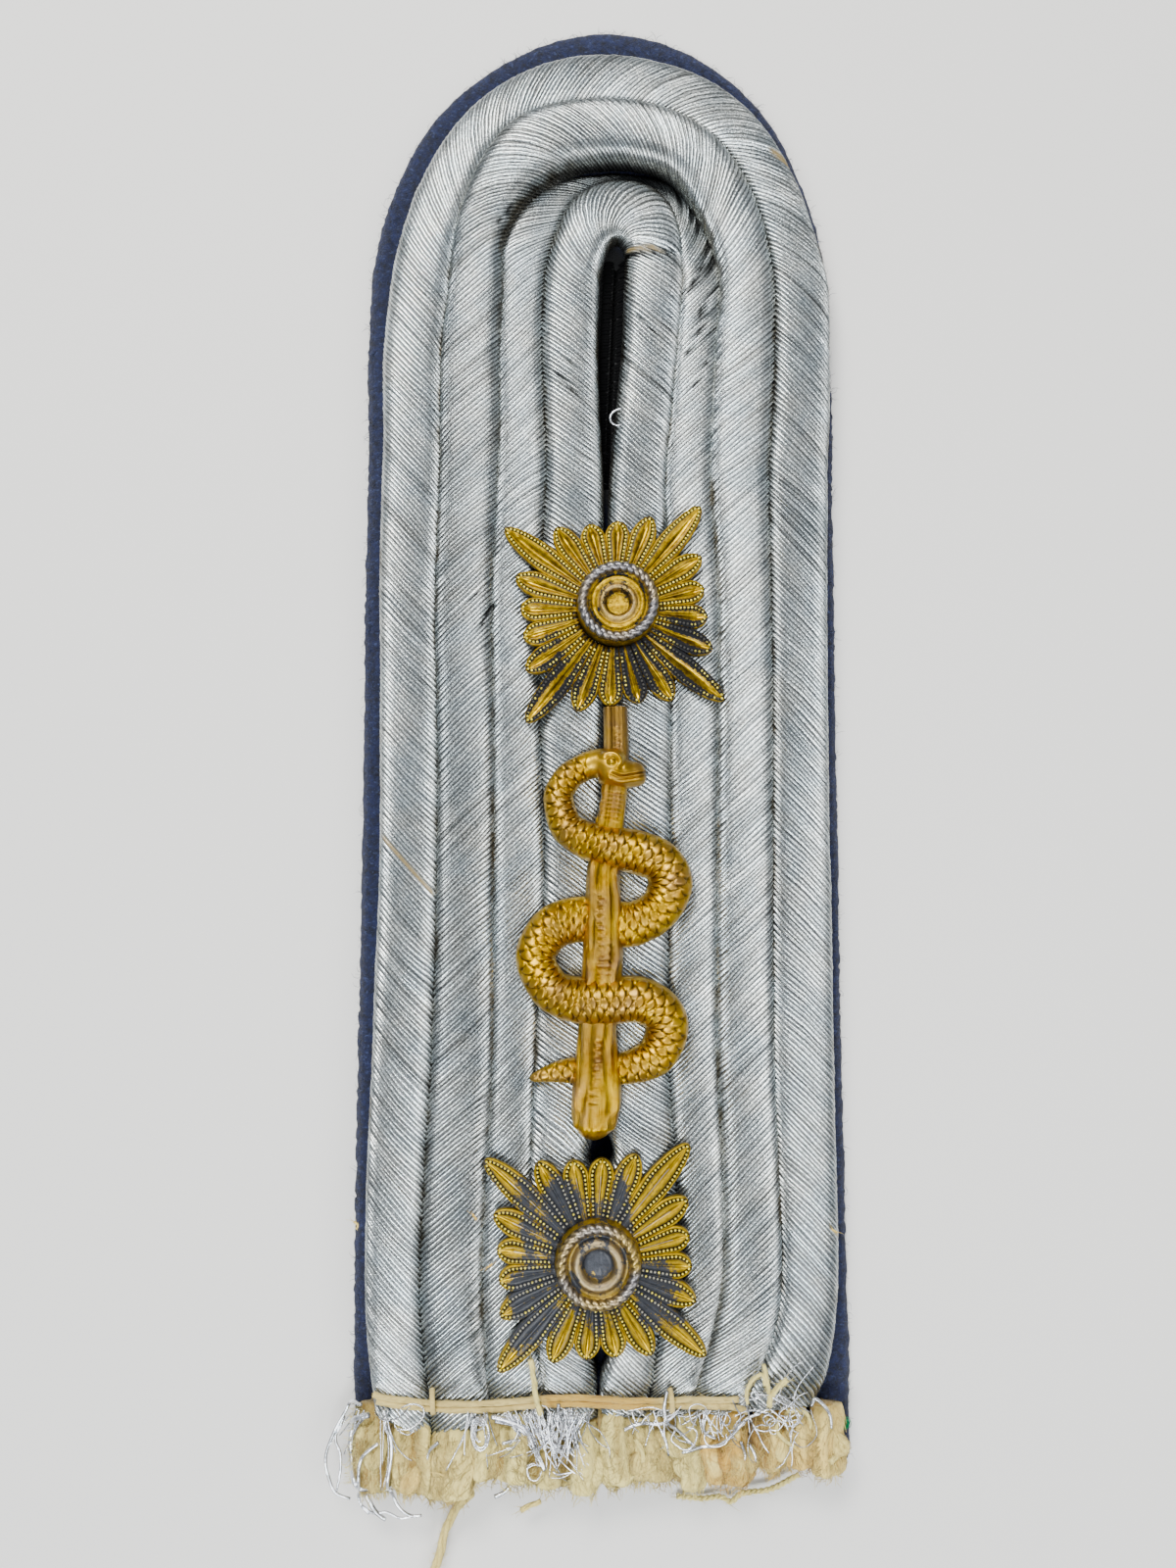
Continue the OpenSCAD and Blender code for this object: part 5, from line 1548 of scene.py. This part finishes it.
def wires():
    """Silver wires that have sprung from the cut ends of the cords."""
    rng = np.random.default_rng(150)
    shape = Shape("shade")
    for number, (thick, line) in enumerate(WIRES):
        path = laid(line, thick / 2, 0.14, 300 + 3 * number, 0.05, 2.7)
        # painted light and shade: each wire brighter and darker along its length, for its glints
        strands(shape, path[None], WIRE_RADIUS * thick * (1 - 0.3 * np.linspace(0, 1, len(path)) ** 4), 6,
                shade=0.75 + 0.5 * drift(310 + number, np.arange(len(path)) / 4.0))
    for k, size in enumerate(COIL_SIZES):
        turn = np.linspace(0.6 * k, 0.6 * k + 5.4, 40)
        x = COIL[0] + 0.1 * rng.normal() + 0.72 * size * np.cos(turn)
        y = COIL[1] + 0.15 * rng.normal() + 1.25 * size * np.sin(turn)
        z = tuft_top(x, y) + 0.2 + 0.12 * k + 0.15 * np.sin(2 * turn)
        strands(shape, np.column_stack([x, y, z])[None], 0.09, 5, shade=0.95)
    paths, sizes = [], []
    for first, last, top, count, mean, spread, length in SPRAYS:
        for _ in range(count):
            at = np.array([rng.uniform(first, last), top + rng.uniform(-0.3, 0.3)])
            heading = math.radians(rng.normal(mean, spread))
            turned = heading + rng.normal(0, 0.6) * np.linspace(0, 1, 6)
            step = max(0.8, rng.normal(length, 0.36 * length)) / 6
            paths.append(wandering(at, np.sin(turned), -np.cos(turned), step, rng, (-0.1, 0.35)))
            sizes.append(rng.uniform(0.045, 0.085))
    for x, y, wide, long, count in TANGLES:
        for _ in range(count):
            at = np.array([x + rng.normal(0, wide), y + rng.normal(0, long)])
            turned = rng.uniform(0, 2 * math.pi) + np.cumsum(rng.normal(0, 0.55) + rng.normal(0, 0.3, 7))
            step = rng.uniform(0.4, 0.85)
            paths.append(wandering(at, np.cos(turned), np.sin(turned), step, rng, (0, 0.5)))
            sizes.append(rng.uniform(0.045, 0.085))
    even = np.linspace(0, 1, 18)
    paths = [at_distances(p, np.linspace(0, 1, len(p)), even) for p in paths]
    # painted light and shade along the loose wires, for their glints
    shade = 0.75 + 0.6 * noise(340, np.arange(len(paths))[:, None] * 7.3, 8 * even[None])
    strands(shape, np.array(paths), np.array(sizes)[:, None] * (1 - 0.3 * even ** 6), 5,
            shade=np.clip(shade, 0.1, 1))
    shape.make("frayed_wires", WIRE, "silver_thread")


def yarn(shape, core, thick, twist, shades, warm=0.0, plies=3, spread=0.22):
    """A soft yarn of twisted plies along a line of points."""
    core = np.asarray(core, float)
    even = travelled(core)
    along = unit(np.gradient(core, axis=0))
    side = unit(np.cross(along, [0, 0, 1.0]))
    up = np.cross(side, along)
    paths = []
    for ply in range(plies):
        phase = even * twist + ply * 2 * math.pi / plies
        paths.append(core + thick * spread * (side * np.cos(phase)[:, None] + up * np.sin(phase)[:, None]))
    swell = 1 + 0.14 * drift(int(thick * 100), even / 0.8)
    strands(shape, np.array(paths), thick * (0.52 - spread) * swell, 6, shade=shades, warm=warm)


def fuzz(shape, core, thick, density, seed, warm=0.0):
    """Fine fibres that stand off a yarn."""
    rng = np.random.default_rng(seed)
    core = np.asarray(core, float)
    count = max(4, int(travelled(core)[-1] * density))
    spot = rng.integers(0, len(core) - 1, count)
    along = unit(np.gradient(core, axis=0))[spot][:, None]
    out = unit(rng.normal(0, 1, (count, 3)) + [0, 0, 0.3])[:, None]
    t = np.linspace(0, 1, 4)[None, :, None]
    size = rng.uniform(0.2, 0.8, (count, 1, 1))
    way = along * rng.choice([-1, 1], (count, 1, 1)) + 0.5 * out + rng.normal(0, 0.3, (count, 1, 3)) * t
    paths = core[spot][:, None] + out * thick * 0.35 + size * t * way
    paths[..., 2] = np.maximum(paths[..., 2], 0.06)
    radii = np.array([0.02, 0.018, 0.014, 0.008])
    strands(shape, paths, radii, shade=rng.uniform(0.6, 1.2, (count, 1)), warm=warm)


def stitching():
    """The back stitch of doubled cream thread across the cut end."""
    shape = Shape("shade", "warm")
    for number, row in enumerate(STITCH_ROWS):
        rough = curve(np.array(row), np.linspace(0, len(row) - 1, 400))
        walked = travelled(rough)
        even = np.arange(0, walked[-1], 0.2)
        x, y = at_distances(rough, walked, even).T
        z = STITCH_FLOOR + 0.16 * drift(162, x / 2.2) - 0.2 * bell(even - even[-1], 0.8)
        core = np.column_stack([x, y + 0.04 * drift(164 + number, x / 0.9), z])
        tan = ramp(x, -6.5, -4.5) * (1 - ramp(x, 3.6, 5.5)) * 0.7 + 0.1
        yarn(shape, core, 0.56, 0.3, 0.7 + 0.12 * drift(166, even / 1.5), tan, 3, 0.14)
        fuzz(shape, core, 0.56, 8, 168 + number, 0.2)
    for x, low in ((-14.85, -60.7), (5.9, -60.6)):
        ends = np.array([(x - 0.1, -58.8, 4.6), (x, -59.3, 5.2), (x + 0.05, -60.2, 5.25), (x, low, 4.7)])
        yarn(shape, curve(ends, np.linspace(0, 3, 24)), 0.5, 0.4, 0.7, 0.15, 3, 0.14)
    shape.make("back_stitch", THREAD, "cotton")


def loose_yarns():
    """Cotton yarns that have come loose, and the two long ones below the tufts."""
    shape = Shape("shade", "warm")
    for number, (thick, warm, line) in enumerate(YARNS):
        core = laid(line, thick / 2, 0.18, 500 + 3 * number, 0.0, 2.2 if line[0][1] < -66 else 0.1)
        yarn(shape, core, thick, 1.6, 0.85, warm)
        fuzz(shape, core, thick, 12, 520 + number, warm)
    twisted = laid(TWISTED_YARN, 0.25, 0.1, 540, 0.2)
    twisted[:, 2] = np.linspace(0.5, 1.2, len(twisted))
    yarn(shape, twisted, 0.5, 6.0, 0.95, 0.0, 2)
    fuzz(shape, twisted, 0.52, 9, 541)
    thick = laid(THICK_YARN, 0.4, 0.18, 545)
    thick[:, 2] = np.linspace(2.2, 0.6, len(thick))
    yarn(shape, thick, 0.8, 0.9, 0.75, 0.15, 3)
    fuzz(shape, thick, 0.8, 26, 546, 0.1)
    shape.make("loose_yarns", COTTON, "cotton")


def lint():
    """A fleck of green lint caught at the corner of the wool."""
    rng = np.random.default_rng(171)
    shape = Shape("shade")
    count = 40
    turn = rng.uniform(0, 6.3, (count, 1)) + rng.uniform(2, 5, (count, 1)) * np.linspace(0, 1, 8)[None]
    size = rng.uniform(0.1, 0.42, (count, 1))
    middle = np.array(LINT_PLACE) + rng.normal(0, 0.08, (count, 3))
    curl = np.stack([size * np.cos(turn), size * np.sin(turn), 0.1 * np.sin(turn * 1.7)], -1)
    strands(shape, middle[:, None] + curl, 0.03, shade=1.0)
    shape.make("green_lint", LINT, "wool")


def buttonhole():
    """Stitches that line the slit, near black as painted shade for the deep slit."""
    rng = np.random.default_rng(170)
    shape = Shape("shade")
    t = np.linspace(0, 1, 5)
    z = WOOL_THICK + 0.14 * np.sin(t * math.pi) + 0.05 - 0.7 * (1 - t) ** 3
    for side in (-1, 1):
        for y in np.arange(-SLIT_LENGTH / 2 - 0.2, SLIT_LENGTH / 2 + 0.4, 0.3):
            v = y + 0.25 * (t - 0.5) * side + rng.normal(0, 0.05)
            flat = np.stack([side * (0.06 + 1.15 * t), v], -1) @ spin(SLIT_TURN) + SLIT_MIDDLE
            strands(shape, np.column_stack([flat, z])[None], 0.17, 5, shade=0.0)
    shape.make("buttonhole_stitches", BLACK, "wool")


# Stage

def added(name, data):
    """A new object in the scene."""
    made = bpy.data.objects.new(name, data)
    bpy.context.scene.collection.objects.link(made)
    return made


def camera():
    """The camera, at the photograph's place and angle."""
    data = bpy.data.cameras.new("camera")
    data.sensor_fit = "VERTICAL"
    data.sensor_height = CAMERA_SENSOR
    data.lens = CAMERA_LENS
    data.clip_start = 0.005
    data.clip_end = 10
    made = added("camera", data)
    made.location = [v * MM for v in CAMERA_PLACE]
    made.rotation_euler = (CAMERA_TILT, 0, 0)
    bpy.context.scene.camera = made


def area_light(name, place, target, size, power, colour):
    """A soft light that looks from a place at a target."""
    data = bpy.data.lights.new(name, "AREA")
    data.shape = "RECTANGLE"
    data.size, data.size_y = (s * MM for s in size)
    data.energy = power
    data.color = colour
    made = added(name, data)
    made.location = [v * MM for v in place]
    x, y, z = np.array(target, float) - np.array(place, float)
    made.rotation_euler = (math.atan2(math.hypot(x, y), -z), 0, math.atan2(x, -y) + math.pi)


def stage():
    """World light, lights and a plain pale floor."""
    world = bpy.data.worlds.new("studio")
    world.use_nodes = True
    sky = world.node_tree.nodes["Background"].inputs
    sky["Color"].default_value = (0.75, 0.8, 0.88, 1)
    sky["Strength"].default_value = 0.5
    bpy.context.scene.world = world
    for row in LIGHTS:
        area_light(*row)
    mesh = bpy.data.meshes.new("floor")
    corners = [(FLOOR_REACH * x, FLOOR_REACH * y, 0) for x, y in ((-1, -1), (1, -1), (1, 1), (-1, 1))]
    mesh.from_pydata(corners, [], [(0, 1, 2, 3)])
    finish = Finish("pale_floor", 0.0, 0.8)
    finish.set("Base Color", srgb(214, 212, 208))
    mesh.materials.append(finish.made)
    floor = added("floor", mesh)


camera()
SILVER = silver_material()
WOOL = wool_material()
GILT = gilt_material("gilt", srgb(206, 168, 0), srgb(122, 90, 0), srgb(11, 12, 16), srgb(72, 70, 66), 0.15)
WORN_GILT = gilt_material("worn_gilt", srgb(206, 170, 4), srgb(156, 124, 0), srgb(50, 52, 57),
                          srgb(176, 172, 156), 0.6)
BRASS = brass_material()
COTTON = cotton_material("cotton", srgb(236, 220, 134), srgb(130, 104, 38), srgb(238, 200, 126), (5, 2.2, 5))
THREAD = cotton_material("stitch_thread", srgb(226, 206, 128), srgb(156, 128, 66), srgb(222, 188, 92),
                         (1, 7, 7))
WIRE = wire_material()
LINT = plain_material("green_lint", srgb(16, 146, 90), 0.9)
# near-black thread, painted shade for the slit
BLACK = plain_material("black_thread", srgb(3, 3, 4), 1.0)

braids()
rim, outward = wool()
wool_fuzz(rim, outward)
pip("upper_pip_star", UPPER_PIP, UPPER_PRONGS, UPPER_LOOK, GILT, "gilt")
pip("lower_pip_star", LOWER_PIP, LOWER_PRONGS, LOWER_LOOK, WORN_GILT, "worn_gilt")
serpent_staff()
cotton()
cotton_fibres()
wires()
stitching()
loose_yarns()
buttonhole()
lint()
stage()
